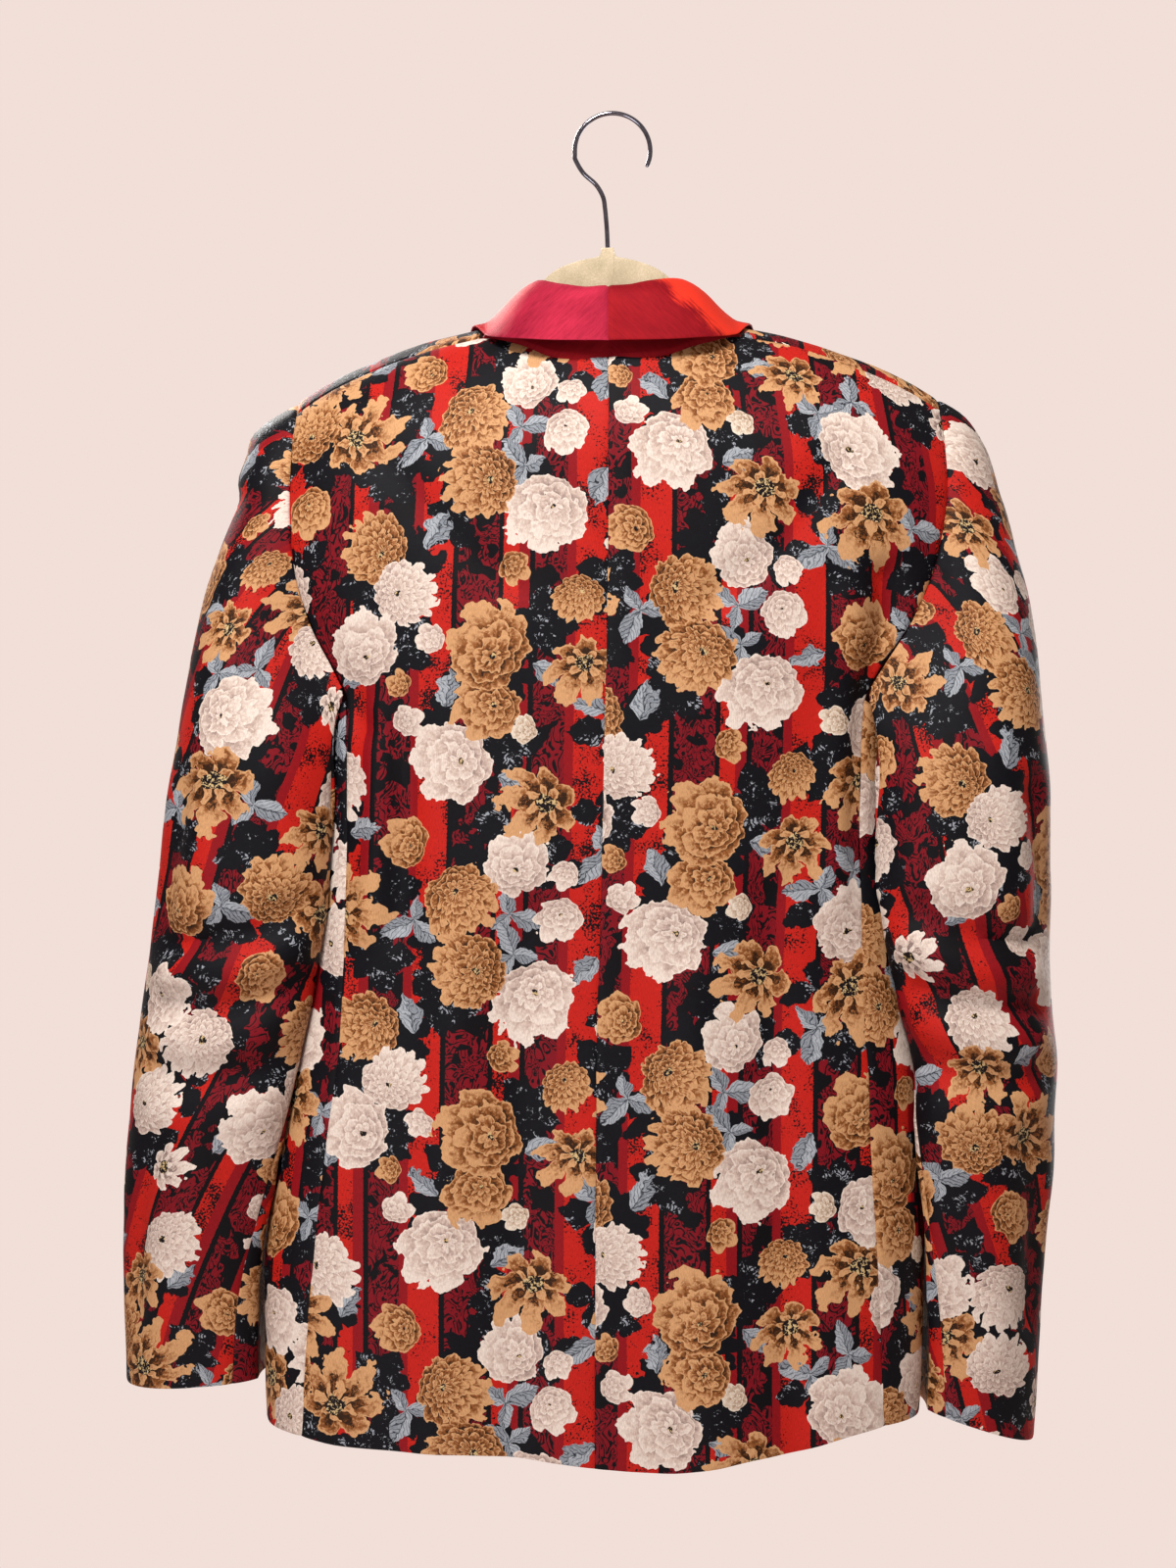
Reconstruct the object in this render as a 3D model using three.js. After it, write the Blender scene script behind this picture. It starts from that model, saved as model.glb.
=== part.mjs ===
// A jacquard blazer with a satin shawl collar, hung on a thin velvet hanger.
// Millimetres. +Z is up, the wearer faces -Y, and +X is the wearer's left.
// The frame's origin is the inside top of the hook, where it rests on a rail.
import * as THREE from "three";

// ---- driving sizes -------------------------------------------------------
const CENTRE_X = 3.4; // the hanger's stem stands this far beside the hook's middle
const CLOTH = 1.6; // wall of the jacquard panels
const SATIN = 1.5; // wall of the collar pieces
const SEAM_IN = 0.2; // each sewn edge stands back this far from the seam line
const SEAT = 1.5; // air between the hanger and the cloth that hangs on it
const SQUARE = 2.7; // how square the body's rings are
const ROUND = 1.7; // how round the shoulder is, from front to back
const BACK_DROP = 110; // height over which the back rounds over to the shoulder
const BACK_ROLL = 132; // length of that rounding along the cloth
const FRONT_DROP = 130;
const FRONT_ROLL = 160;
const SEAM_ANGLE = 22; // degrees behind the ridge where the shoulder seam lies
const SHOULDER_TILT = 0.007; // the wearer's right shoulder hangs a little higher
const SHOULDER_SPREAD = 0.032; // and a little wider
const BUTTON_Z = -606;
const OVERLAP = 20; // each front runs past the middle by this much
const UNDERLAP = 7; // and the right one lies this far under the left one
const FLANK = { from: 120, to: 215 }; // distances from the middle over which a side stands out

// Half width, depth to the back and to the front, and sideways lean of the body, by height.
// The wearer's right side stands out by `right` more.
const BODY = [
  { z: -920, half: 227, back: 74, front: 76, lean: 9, right: -3 },
  { z: -870, half: 229, back: 75, front: 78, lean: 9, right: -2 },
  { z: -800, half: 228, back: 75, front: 80, lean: 9, right: 0 },
  { z: -700, half: 218, back: 74, front: 83, lean: 8.5, right: 7 },
  { z: -650, half: 211, back: 73, front: 85, lean: 7.8, right: 13 },
  { z: -605, half: 203, back: 72, front: 88, lean: 7, right: 12 },
  { z: -500, half: 198, back: 75, front: 98, lean: 4, right: 3 },
  { z: -408, half: 201, back: 77, front: 104, lean: 2, right: 0 },
  { z: -355, half: 227, back: 77, front: 104, lean: 1, right: 0 },
  { z: -314, half: 239, back: 77, front: 102, lean: 0.5, right: 0 },
  { z: -262, half: 246, back: 76, front: 96, lean: 0, right: 0 },
  { z: -200, half: 252, back: 75, front: 90, lean: 0, right: 0 },
  { z: -120, half: 256, back: 75, front: 86, lean: 0, right: 0 },
];

// Height of the shoulder's ridge by distance from the middle.
const RIDGE = [
  { x: 0, z: -136 },
  { x: 50, z: -141 },
  { x: 91, z: -149 },
  { x: 126, z: -157 },
  { x: 163, z: -169.5 },
  { x: 197, z: -184.5 },
  { x: 226, z: -202.5 },
  { x: 250, z: -222 },
];

// Outer edge of the back panel: the side-back seam, then the back of the armhole.
// w is height, and above the turn of the shoulder it is length along the cloth.
const BACK_EDGE = [
  { w: -920, x: 199 },
  { w: -800, x: 191 },
  { w: -700, x: 180 },
  { w: -605, x: 172 },
  { w: -500, x: 172.5 },
  { w: -408, x: 175 },
  { w: -390, x: 183 },
  { w: -355, x: 203 },
  { w: -314, x: 217 },
  { w: -262, x: 223 },
  { w: -235, x: 222.5 },
  { w: -214, x: 221 },
  { w: -195, x: 221 },
];

// Degrees from the ridge to the back panel's top edge: the neck, then the shoulder seam.
const BACK_TOP = [
  { x: 0, q: 47.5 },
  { x: 35, q: 44.5 },
  { x: 62, q: 34 },
  { x: 80, q: 26 },
  { x: 91, q: SEAM_ANGLE },
  { x: 230, q: SEAM_ANGLE },
];

// Outer edge of the front panel: the side-front seam, then the front of the armhole.
const FRONT_SIDE = [
  { w: -920, x: 190 },
  { w: -800, x: 181 },
  { w: -700, x: 170 },
  { w: -605, x: 163 },
  { w: -500, x: 166 },
  { w: -412, x: 170 },
  { w: -390, x: 172 },
  { w: -350, x: 177 },
  { w: -300, x: 190 },
  { w: -250, x: 205 },
  { w: -205, x: 216 },
  { w: -165, x: 221 },
];

// Inner edge of the front panel: the cutaway, the overlap, then the break of the lapel.
const FRONT_EDGE = [
  { w: -925, x: 52 },
  { w: -900, x: 26 },
  { w: -860, x: 8 },
  { w: -780, x: -9 },
  { w: -690, x: -18 },
  { w: -606, x: -OVERLAP },
  { w: -560, x: -8 },
  { w: -490, x: 14 },
  { w: -410, x: 34 },
  { w: -330, x: 52 },
  { w: -260, x: 65 },
  { w: -200, x: 76 },
  { w: -160, x: 84 },
  { w: -130, x: 91 },
];

// Hem heights by distance from the middle.
const BACK_HEM = [
  { x: 0, left: -918, right: -918 },
  { x: 28, left: -914.5, right: -920.5 },
  { x: 50, left: -912, right: -921.5 },
  { x: 75, left: -910, right: -918.5 },
  { x: 105, left: -908.5, right: -914 },
  { x: 135, left: -908, right: -910.5 },
  { x: 170, left: -907, right: -901.5 },
  { x: 200, left: -903, right: -896 },
  { x: 230, left: -893, right: -889 },
];
const FRONT_HEM = [
  { x: 30, z: -908 },
  { x: 52, z: -917 },
  { x: 80, z: -921 },
  { x: 130, z: -911 },
  { x: 190, z: -893 },
];

// Underarm curve, the top edge of the side panel: u runs from back seam to front seam.
const UNDERARM = [
  { u: 0, z: -408 },
  { u: 0.25, z: -422 },
  { u: 0.5, z: -428 },
  { u: 0.75, z: -424 },
  { u: 1, z: -412 },
];

const BACK_HOLE_Z = -408; // where the side-back seam meets the armhole
const FRONT_HOLE_Z = -412;
const BACK_CORNER = 11 / 19; // share of the back's rows below that point
const FRONT_CORNER = 10 / 20;
const FRONT_RIDGE = 18 / 20; // share of the front's rows below the shoulder's ridge

// Sleeve rings: outer and inner edge, middle and half depth, angle of the hind-arm seam.
const SLEEVE_LEFT = [
  { z: -900, outer: 327, inner: 229, y: -20, depth: 40, hind: 112 },
  { z: -830, outer: 328, inner: 227, y: -12, depth: 45, hind: 116 },
  { z: -750, outer: 326, inner: 216, y: -2, depth: 50, hind: 128 },
  { z: -668, outer: 319, inner: 203, y: 7, depth: 55, hind: 148 },
  { z: -590, outer: 310, inner: 190, y: 12, depth: 58, hind: 158 },
  { z: -530, outer: 303, inner: 180, y: 15, depth: 60, hind: 155 },
  { z: -470, outer: 296, inner: 175, y: 16, depth: 61, hind: 148 },
];
const SLEEVE_RIGHT = [
  { z: -925, outer: 310, inner: 229, y: -20, depth: 41, hind: 112 },
  { z: -830, outer: 313, inner: 221, y: -12, depth: 46, hind: 116 },
  { z: -750, outer: 313, inner: 213, y: -2, depth: 50, hind: 128 },
  { z: -668, outer: 306, inner: 204, y: 7, depth: 55, hind: 148 },
  { z: -590, outer: 300, inner: 189, y: 12, depth: 58, hind: 158 },
  { z: -530, outer: 303, inner: 178, y: 15, depth: 60, hind: 155 },
  { z: -470, outer: 303, inner: 176, y: 16, depth: 61, hind: 148 },
];
const SLEEVE_SKEW = 0.18; // the hind half of a sleeve lies this much nearer the body for its depth
const CUFF_LEFT = { inner: -873, outer: -880 };
const CUFF_RIGHT = { inner: -892, outer: -921 };
const BICEP_Z = -470;
const ARMHOLE_GAP = 1.6; // the sleeve starts this far outside the armhole's edge
const SLEEVE_OFF = 4; // the sleeve's distance from the body's side
const SLEEVE_SQUARE = 2.35; // how square the sleeve's rings are
const HEAD_SHARE = 0.46; // of the sleeve's rows, from armhole to bicep
const HOLE_MIDDLE = { x: 205, z: -320 };

// The collar's fold and its outer edge, from the centre back round to the button.
const FOLD = [
  { s: 0, x: 0, y: 46, z: -128 },
  { s: 0.03, x: 12.3, y: 45.2, z: -127.3 },
  { s: 0.06, x: 24, y: 43, z: -124.5 },
  { s: 0.12, x: 46, y: 31, z: -120.5 },
  { s: 0.17, x: 60, y: 13, z: -125 },
  { s: 0.22, x: 65, y: -7, z: -132 },
  { s: 0.28, x: 66, y: -28, z: -149 },
  { s: 0.35, x: 68, y: -52, z: -181 },
  { s: 0.46, x: 62, y: -78, z: -246 },
  { s: 0.6, x: 49, y: -95, z: -330 },
  { s: 0.73, x: 32, y: -104, z: -410 },
  { s: 0.86, x: 10, y: -104, z: -490 },
  { s: 1, x: -14, y: -97, z: -574 },
];
const FALL = [
  { s: 0, x: 0, y: 63, z: -167 },
  { s: 0.06, x: 34, y: 62, z: -166.5 },
  { s: 0.12, x: 63, y: 54, z: -163.5 },
  { s: 0.17, x: 84, y: 34, z: -157 },
  { s: 0.22, x: 94, y: 6, z: -149 },
  { s: 0.28, x: 102, y: -26, z: -160 },
  { s: 0.35, x: 114, y: -58, z: -196 },
  { s: 0.46, x: 128, y: -84, z: -262 },
  { s: 0.6, x: 124, y: -104, z: -345 },
  { s: 0.73, x: 98, y: -112, z: -428 },
  { s: 0.86, x: 52, y: -108, z: -508 },
  { s: 1, x: -9, y: -98, z: -585 },
];
const FOLD_SAG = 2.6; // the fold hangs this much lower between middle and shoulder on the left
const FALL_BULGE = 5; // how far the fall stands off a straight line at the back of the neck
const STAND_END = 0.3; // share of the fold where the stand runs out
const LAPEL_OFF = 3.8; // the lapel's distance from the front panel under it

// Hanger: plate profile by distance from the middle, and the wire's path.
const PLATE_THICK = 5;
const PLATE_TOP = [
  { x: 0, z: -92 },
  { x: 4.3, z: -92 },
  { x: 4.8, z: -95.6 },
  { x: 5.9, z: -97.8 },
  { x: 8.6, z: -98.8 },
  { x: 14, z: -99.6 },
  { x: 30, z: -104.5 },
  { x: 42, z: -112 },
  { x: 48, z: -120 },
  { x: 53, z: -132 },
  { x: 58, z: -143 },
  { x: 66, z: -151 },
  { x: 80, z: -155 },
  { x: 91, z: -157 },
];
const ARM_END = 203;
const ARM_DEEP = 22; // the arms are this deep, the neck and the boss deeper by the next two
const NECK_DEEP = 20;
const BOSS_DEEP = 6;
const NECK_DIP = 5; // the plate lies this much lower beside the neck than under the shoulders
const HOOK_WIRE = 1.6;
const HOOK_RADIUS = 26.2;
const HOOK_TAIL = [
  { x: 25.6, z: -31 },
  { x: 20.2, z: -40 },
  { x: 11.5, z: -48 },
  { x: 6.6, z: -56.5 },
  { x: 5.2, z: -64.6 },
  { x: 4.4, z: -72.8 },
  { x: 3.8, z: -81 },
  { x: 3.4, z: -91.6 },
];

// ---- small helpers -------------------------------------------------------
const rad = THREE.MathUtils.degToRad;
const clamp = THREE.MathUtils.clamp;
const lerp = THREE.MathUtils.lerp;
const V = (x, y, z) => new THREE.Vector3(x, y, z);

// Value of a table's column, smoothly interpolated along its key column.
function at(table, key, column, k) {
  const last = table.length - 1;
  if (k <= table[0][key]) return table[0][column];
  if (k >= table[last][key]) return table[last][column];
  let i = 0;
  while (table[i + 1][key] < k) i += 1;
  const rise = (j) => {
    const lo = table[clamp(j, 0, last - 1)];
    const hi = table[clamp(j, 0, last - 1) + 1];
    return (hi[column] - lo[column]) / (hi[key] - lo[key]);
  };
  const slope = (j) => {
    const before = rise(j - 1);
    const after = rise(j);
    return before * after <= 0 ? 0 : (2 * before * after) / (before + after);
  };
  const a = table[i];
  const b = table[i + 1];
  const span = b[key] - a[key];
  const t = (k - a[key]) / span;
  const t2 = t * t;
  const t3 = t2 * t;
  return (
    a[column] * (2 * t3 - 3 * t2 + 1) +
    slope(i) * span * (t3 - 2 * t2 + t) +
    b[column] * (3 * t2 - 2 * t3) +
    slope(i + 1) * span * (t3 - t2)
  );
}

// The way the whole garment sits on its hanger: it leans, and one shoulder is higher.
function hang(p, side) {
  const far = THREE.MathUtils.smoothstep(Math.abs(p.x), FLANK.from, FLANK.to);
  const x = side > 0 ? p.x : -(p.x + at(BODY, "z", "right", p.z) * far);
  const high = THREE.MathUtils.smoothstep(p.z, -440, -250);
  return V(
    x + at(BODY, "z", "lean", p.z) - SHOULDER_SPREAD * Math.abs(x) * high,
    p.y,
    p.z - SHOULDER_TILT * x * high,
  );
}

const power = (value, exponent) => Math.sign(value) * Math.abs(value) ** exponent;

// Depth of the body's ring at a distance x from the middle, at height z.
function ringDepth(x, z, which) {
  const share = clamp(Math.abs(x) / at(BODY, "z", "half", z), 0, 0.999);
  return at(BODY, "z", which, z) * (1 - share ** SQUARE) ** (1 / SQUARE);
}

// A point of the back or front surface: w runs up the cloth and over the shoulder.
function bodyPoint(x, w, face) {
  const ridge = at(RIDGE, "x", "z", x);
  const drop = face === "back" ? BACK_DROP : FRONT_DROP;
  const roll = face === "back" ? BACK_ROLL : FRONT_ROLL;
  const sign = face === "back" ? 1 : -1;
  const start = ridge - drop;
  if (w <= start) return V(x, sign * ringDepth(x, w, face), w);
  const q = (Math.PI / 2) * (1 - (w - start) / roll);
  const over = q < 0; // past the ridge, on the other face
  const reach = over ? (face === "back" ? FRONT_DROP : BACK_DROP) : drop;
  const other = face === "back" ? "front" : "back";
  const z = ridge - reach * (1 - Math.cos(q) ** (2 / ROUND));
  const depth = ringDepth(x, z, over ? other : face);
  return V(x, sign * depth * power(Math.sin(q), 2 / ROUND), z);
}

const topOf = (x, face, q) =>
  face === "back"
    ? at(RIDGE, "x", "z", x) - BACK_DROP + BACK_ROLL * (1 - q / 90)
    : at(RIDGE, "x", "z", x) - FRONT_DROP + FRONT_ROLL * (1 + q / 90);

// How far p stands outside the body's surface, and the way out.
function outside(p) {
  const level = (r) => {
    const face = r.y >= 0 ? "back" : "front";
    const drop = r.y >= 0 ? BACK_DROP : FRONT_DROP;
    const h = at(RIDGE, "x", "z", Math.abs(r.x)) - r.z;
    const up = clamp(1 - h / drop, 0, 3);
    return (Math.abs(r.y) / ringDepth(r.x, r.z, face)) ** ROUND + up ** ROUND - 1;
  };
  const e = 0.5;
  const g = V(
    level(V(p.x + e, p.y, p.z)) - level(V(p.x - e, p.y, p.z)),
    level(V(p.x, p.y + e, p.z)) - level(V(p.x, p.y - e, p.z)),
    level(V(p.x, p.y, p.z + e)) - level(V(p.x, p.y, p.z - e)),
  ).divideScalar(2 * e);
  const size = g.length() || 1;
  return { distance: level(p) / size, way: g.divideScalar(size) };
}

// Moves p out to a distance from the body's surface, and in by the share `lie` if it's farther.
function pushOut(p, gap, lie) {
  const q = p.clone();
  for (let i = 0; i < 8; i += 1) {
    const { distance, way } = outside(q);
    q.addScaledVector(way, (gap - distance) * (distance < gap ? 1 : lie));
  }
  return q;
}

// Length along a polyline to each of its points.
function lengthsOf(points) {
  const lengths = [0];
  for (let i = 1; i < points.length; i += 1) {
    lengths.push(lengths[i - 1] + points[i].distanceTo(points[i - 1]));
  }
  return lengths;
}

function pointAlong(points, lengths, distance) {
  let i = 1;
  while (i < points.length - 1 && lengths[i] < distance) i += 1;
  const t = (distance - lengths[i - 1]) / (lengths[i] - lengths[i - 1] || 1);
  return points[i - 1].clone().lerp(points[i], clamp(t, 0, 1));
}

// ---- walls ---------------------------------------------------------------
// A closed wall about a surface. point(u across, v up) gives its middle, and `side` the hand
// it hangs on. Its edges stand back by SEAM_IN from the seam lines.
function wall(point, cols, rows, side, flip, thick) {
  const here = (u, v) => hang(point(u, v), side);
  const turn = side > 0 === flip ? -1 : 1;
  const e = 0.004;
  const mid = [];
  const normals = [];
  for (let i = 0; i < rows; i += 1) {
    mid.push([]);
    normals.push([]);
    for (let j = 0; j < cols; j += 1) {
      const u = (turn > 0 ? j : cols - 1 - j) / (cols - 1);
      const v = i / (rows - 1);
      const across = here(u + e, v).sub(here(u - e, v));
      const up = here(u, v + e).sub(here(u, v - e));
      mid[i].push(here(u, v));
      normals[i].push(across.cross(up).normalize().multiplyScalar(turn));
    }
  }
  const step = (p, q) => p.clone().addScaledVector(q.clone().sub(p).normalize(), SEAM_IN);
  for (let j = 0; j < cols; j += 1) {
    mid[0][j] = step(mid[0][j], mid[1][j]);
    mid[rows - 1][j] = step(mid[rows - 1][j], mid[rows - 2][j]);
  }
  for (let i = 0; i < rows; i += 1) {
    mid[i][0] = step(mid[i][0], mid[i][1]);
    mid[i][cols - 1] = step(mid[i][cols - 1], mid[i][cols - 2]);
  }
  const outer = [];
  const inner = [];
  for (let i = 0; i < rows; i += 1) {
    for (let j = 0; j < cols; j += 1) {
      const n = normals[i][j].clone().multiplyScalar(thick / 2);
      outer.push(mid[i][j].clone().add(n));
      inner.push(mid[i][j].clone().sub(n));
    }
  }
  const all = outer.concat(inner);
  const index = [];
  const id = (i, j) => i * cols + j;
  const back = rows * cols;
  const quad = (a, b, c, d) => index.push(a, b, c, a, c, d);
  for (let i = 0; i < rows - 1; i += 1) {
    for (let j = 0; j < cols - 1; j += 1) {
      quad(id(i, j), id(i, j + 1), id(i + 1, j + 1), id(i + 1, j));
      quad(back + id(i, j), back + id(i + 1, j), back + id(i + 1, j + 1), back + id(i, j + 1));
    }
  }
  for (let j = 0; j < cols - 1; j += 1) {
    quad(id(0, j), back + id(0, j), back + id(0, j + 1), id(0, j + 1));
    const t = rows - 1;
    quad(id(t, j), id(t, j + 1), back + id(t, j + 1), back + id(t, j));
  }
  for (let i = 0; i < rows - 1; i += 1) {
    quad(id(i, 0), id(i + 1, 0), back + id(i + 1, 0), back + id(i, 0));
    const r = cols - 1;
    quad(id(i, r), back + id(i, r), back + id(i + 1, r), id(i + 1, r));
  }
  const geometry = new THREE.BufferGeometry();
  geometry.setAttribute(
    "position",
    new THREE.Float32BufferAttribute(all.flatMap((p) => [p.x, p.y, p.z]), 3),
  );
  geometry.setIndex(index);
  geometry.computeVertexNormals();
  return geometry;
}

// ---- panels --------------------------------------------------------------
// Height up the cloth for v from 0 to 1, passing through the given stops.
function passing(stops, v) {
  const i = clamp(stops.findIndex((stop) => v < stop.v) - 1, 0, stops.length - 2);
  const k = v >= stops.at(-1).v ? stops.length - 2 : i;
  const a = stops[k];
  const b = stops[k + 1];
  return lerp(a.w, b.w, (v - a.v) / (b.v - a.v));
}

function backPoint(u, v, side = 1) {
  const hand = side > 0 ? "left" : "right";
  const topX = u * BACK_EDGE.at(-1).x;
  const top = topOf(topX, "back", at(BACK_TOP, "x", "q", topX));
  const hem = at(BACK_HEM, "x", hand, u * BACK_EDGE[0].x);
  const w = passing([{ v: 0, w: hem }, { v: BACK_CORNER, w: BACK_HOLE_Z }, { v: 1, w: top }], v);
  return bodyPoint(u * at(BACK_EDGE, "w", "x", w), w, "back");
}

// One point of the ring at height z: turn runs from the side-back to the side-front seam.
function sidePoint(u, v, side = 1) {
  const hem = lerp(
    at(BACK_HEM, "x", side > 0 ? "left" : "right", BACK_EDGE[0].x),
    at(FRONT_HEM, "x", "z", FRONT_SIDE[0].x),
    u,
  );
  const z = lerp(hem, at(UNDERARM, "u", "z", u), v);
  return ringPoint(z, u);
}

function ringPoint(z, u) {
  const half = at(BODY, "z", "half", z);
  const angle = (x) => Math.asin(clamp((x / half) ** (SQUARE / 2), 0, 1));
  const from = angle(at(BACK_EDGE, "w", "x", z));
  const to = Math.PI - angle(at(FRONT_SIDE, "w", "x", z));
  const points = [];
  for (let k = -2; k <= 42; k += 1) {
    const phi = lerp(from, to, k / 40);
    const depth = at(BODY, "z", phi < Math.PI / 2 ? "back" : "front", z);
    points.push(
      V(half * Math.sin(phi) ** (2 / SQUARE), depth * power(Math.cos(phi), 2 / SQUARE), z),
    );
  }
  const lengths = lengthsOf(points);
  return pointAlong(points, lengths, lerp(lengths[2], lengths[42], u));
}

function frontPoint(u, v, side) {
  const edge = (w) => at(FRONT_EDGE, "w", "x", w);
  const sideX = (w) => at(FRONT_SIDE, "w", "x", w);
  const topX = lerp(FRONT_SIDE.at(-1).x, FRONT_EDGE.at(-1).x, u);
  const top = topOf(topX, "front", SEAM_ANGLE);
  const hemX = lerp(FRONT_SIDE[0].x, FRONT_EDGE[0].x, u);
  const stops = [
    { v: 0, w: at(FRONT_HEM, "x", "z", hemX) },
    { v: FRONT_CORNER, w: FRONT_HOLE_Z },
    { v: FRONT_RIDGE, w: topOf(topX, "front", 0) },
    { v: 1, w: top },
  ];
  const w = passing(stops, v);
  const x = lerp(sideX(w), edge(w), u);
  const p = bodyPoint(Math.abs(x), w, "front");
  p.x = x;
  if (side < 0) p.y += underlap(x, w);
  return p;
}

// The right front passes under the left one where they overlap.
function underlap(x, w) {
  const near = 1 - THREE.MathUtils.smoothstep(x, OVERLAP + 6, OVERLAP + 42);
  const low = 1 - THREE.MathUtils.smoothstep(w, -515, -430);
  return UNDERLAP * near * low;
}

// ---- sleeves -------------------------------------------------------------
// The armhole's edge, from the shoulder round the back, the underarm and the front.
function armhole() {
  const loop = [];
  const steps = 24;
  for (let k = 0; k < steps; k += 1) loop.push(backPoint(1, lerp(1, BACK_CORNER, k / steps)));
  const corner = loop.length;
  for (let k = 0; k < steps; k += 1) loop.push(sidePoint(k / steps, 1));
  const fore = loop.length;
  for (let k = 0; k <= steps; k += 1) loop.push(frontPoint(0, lerp(FRONT_CORNER, 1, k / steps), 1));
  return { loop, corner, fore };
}

// Share c of the sleeve's girth: 0 at the shoulder, then back, underarm, front.
const HIND_SHARE = 0.4;
const FORE_SHARE = 0.6;

function armholePoint(hole, c) {
  const { loop, corner, fore } = hole;
  const pick = (from, to, t) => {
    const part = loop.slice(from, to + 1);
    const lengths = lengthsOf(part);
    return pointAlong(part, lengths, t * lengths.at(-1));
  };
  if (c <= HIND_SHARE) return pick(0, corner, c / HIND_SHARE);
  if (c <= FORE_SHARE) return pick(corner, fore, (c - HIND_SHARE) / (FORE_SHARE - HIND_SHARE));
  return pick(fore, loop.length - 1, (c - FORE_SHARE) / (1 - FORE_SHARE));
}

// Angle round the sleeve's ring for a share of its girth, with the hind-arm seam at `hind`.
function turnOf(c, hind) {
  const turns = [
    { c: -0.2, a: -62 },
    { c: 0, a: 4 },
    { c: 0.2, a: 0.46 * hind },
    { c: HIND_SHARE, a: hind },
    { c: 0.5, a: lerp(hind, 228, 0.5) },
    { c: FORE_SHARE, a: 228 },
    { c: 0.8, a: 298 },
    { c: 1, a: 364 },
    { c: 1.2, a: 360 + 0.46 * hind },
  ];
  return at(turns, "c", "a", c);
}

function sleeveRing(table, z, c) {
  const outer = at(table, "z", "outer", z);
  const inner = at(table, "z", "inner", z);
  const depth = at(table, "z", "depth", z);
  const a = rad(turnOf(c, at(table, "z", "hind", z)));
  const e = 2 / SLEEVE_SQUARE;
  const hind = depth * power(Math.sin(a), e);
  const skew = SLEEVE_SKEW * THREE.MathUtils.smoothstep(-z, 470, 600);
  const p = V(
    (outer + inner) / 2 + ((outer - inner) / 2) * power(Math.cos(a), e) - skew * hind,
    at(table, "z", "y", z) + hind,
    z,
  );
  return beside(p);
}

// How far the shoulder's outline stands off the sleeve's smooth run, by height.
const CAP = [
  { z: -470, left: 0, right: 0 },
  { z: -423, left: -2, right: -2 },
  { z: -382, left: -1.5, right: -4 },
  { z: -341, left: -1, right: -7 },
  { z: -300, left: -4, right: -11 },
  { z: -268, left: -7, right: -11 },
  { z: -251, left: 0, right: -8 },
  { z: -235, left: 2, right: -4 },
  { z: -219, left: 9, right: -1 },
  { z: -203, left: 12, right: 6 },
];

// Keeps a sleeve point clear of the body's side.
function beside(p) {
  if (p.z > -398) return p;
  const depth = at(BODY, "z", p.y > 0 ? "back" : "front", p.z);
  const clear = SLEEVE_OFF * THREE.MathUtils.smoothstep(-p.z, 398, 418);
  const share = clamp(Math.abs(p.y) / (depth + clear), 0, 1);
  const body = (at(BODY, "z", "half", p.z) + clear) * (1 - share ** SQUARE) ** (1 / SQUARE);
  p.x = Math.max(p.x, body);
  return p;
}

function sleevePoint(hole, hand, girth, t) {
  const table = hand === "left" ? SLEEVE_LEFT : SLEEVE_RIGHT;
  const cuff = hand === "left" ? CUFF_LEFT : CUFF_RIGHT;
  const c = ((girth % 1) + 1) % 1;
  const start = armholePoint(hole, c);
  const ring = sleeveRing(table, BICEP_Z, c);
  if (t <= HEAD_SHARE) {
    const k = t / HEAD_SHARE;
    const chord = ring.distanceTo(start);
    const away = start.clone().sub(V(HOLE_MIDDLE.x, 0, HOLE_MIDDLE.z)).normalize();
    const top = clamp((start.z + 428) / 226, 0, 1);
    const out = V(1.0, 0.55 * away.y, -0.95 + 0.45 * top).normalize();
    const below = sleeveRing(table, BICEP_Z - 10, c);
    const down = below.sub(ring).normalize();
    const out1 = out.multiplyScalar(chord * (0.55 + 0.25 * top));
    const down1 = down.multiplyScalar(chord);
    start.addScaledVector(out1.clone().normalize(), ARMHOLE_GAP);
    const k2 = k * k;
    const k3 = k2 * k;
    const p = start
      .multiplyScalar(2 * k3 - 3 * k2 + 1)
      .addScaledVector(out1, k3 - 2 * k2 + k)
      .addScaledVector(ring, 3 * k2 - 2 * k3)
      .addScaledVector(down1, k3 - k2);
    const capped = Math.max(0, Math.cos(2 * Math.PI * c)) ** 0.7;
    p.x += at(CAP, "z", hand, p.z) * capped * THREE.MathUtils.smoothstep(k, 0, 0.2);
    return beside(p);
  }
  const outer = at(table, "z", "outer", cuff.outer);
  const inner = at(table, "z", "inner", cuff.outer);
  const probe = sleeveRing(table, cuff.outer, c);
  const end = lerp(cuff.inner, cuff.outer, clamp((probe.x - inner) / (outer - inner), 0, 1));
  return sleeveRing(table, lerp(BICEP_Z, end, (t - HEAD_SHARE) / (1 - HEAD_SHARE)), c);
}

// ---- collar --------------------------------------------------------------
const curve = (table, s) => V(at(table, "s", "x", s), at(table, "s", "y", s), at(table, "s", "z", s));

// The collar's fold, which hangs lower on the left.
function foldPoint(s, side) {
  const { smoothstep } = THREE.MathUtils;
  const sag = side > 0 ? FOLD_SAG * smoothstep(s, 0, 0.06) * (1 - smoothstep(s, 0.085, 0.13)) : 0;
  return curve(FOLD, s).add(V(0, 0, -sag));
}

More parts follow.
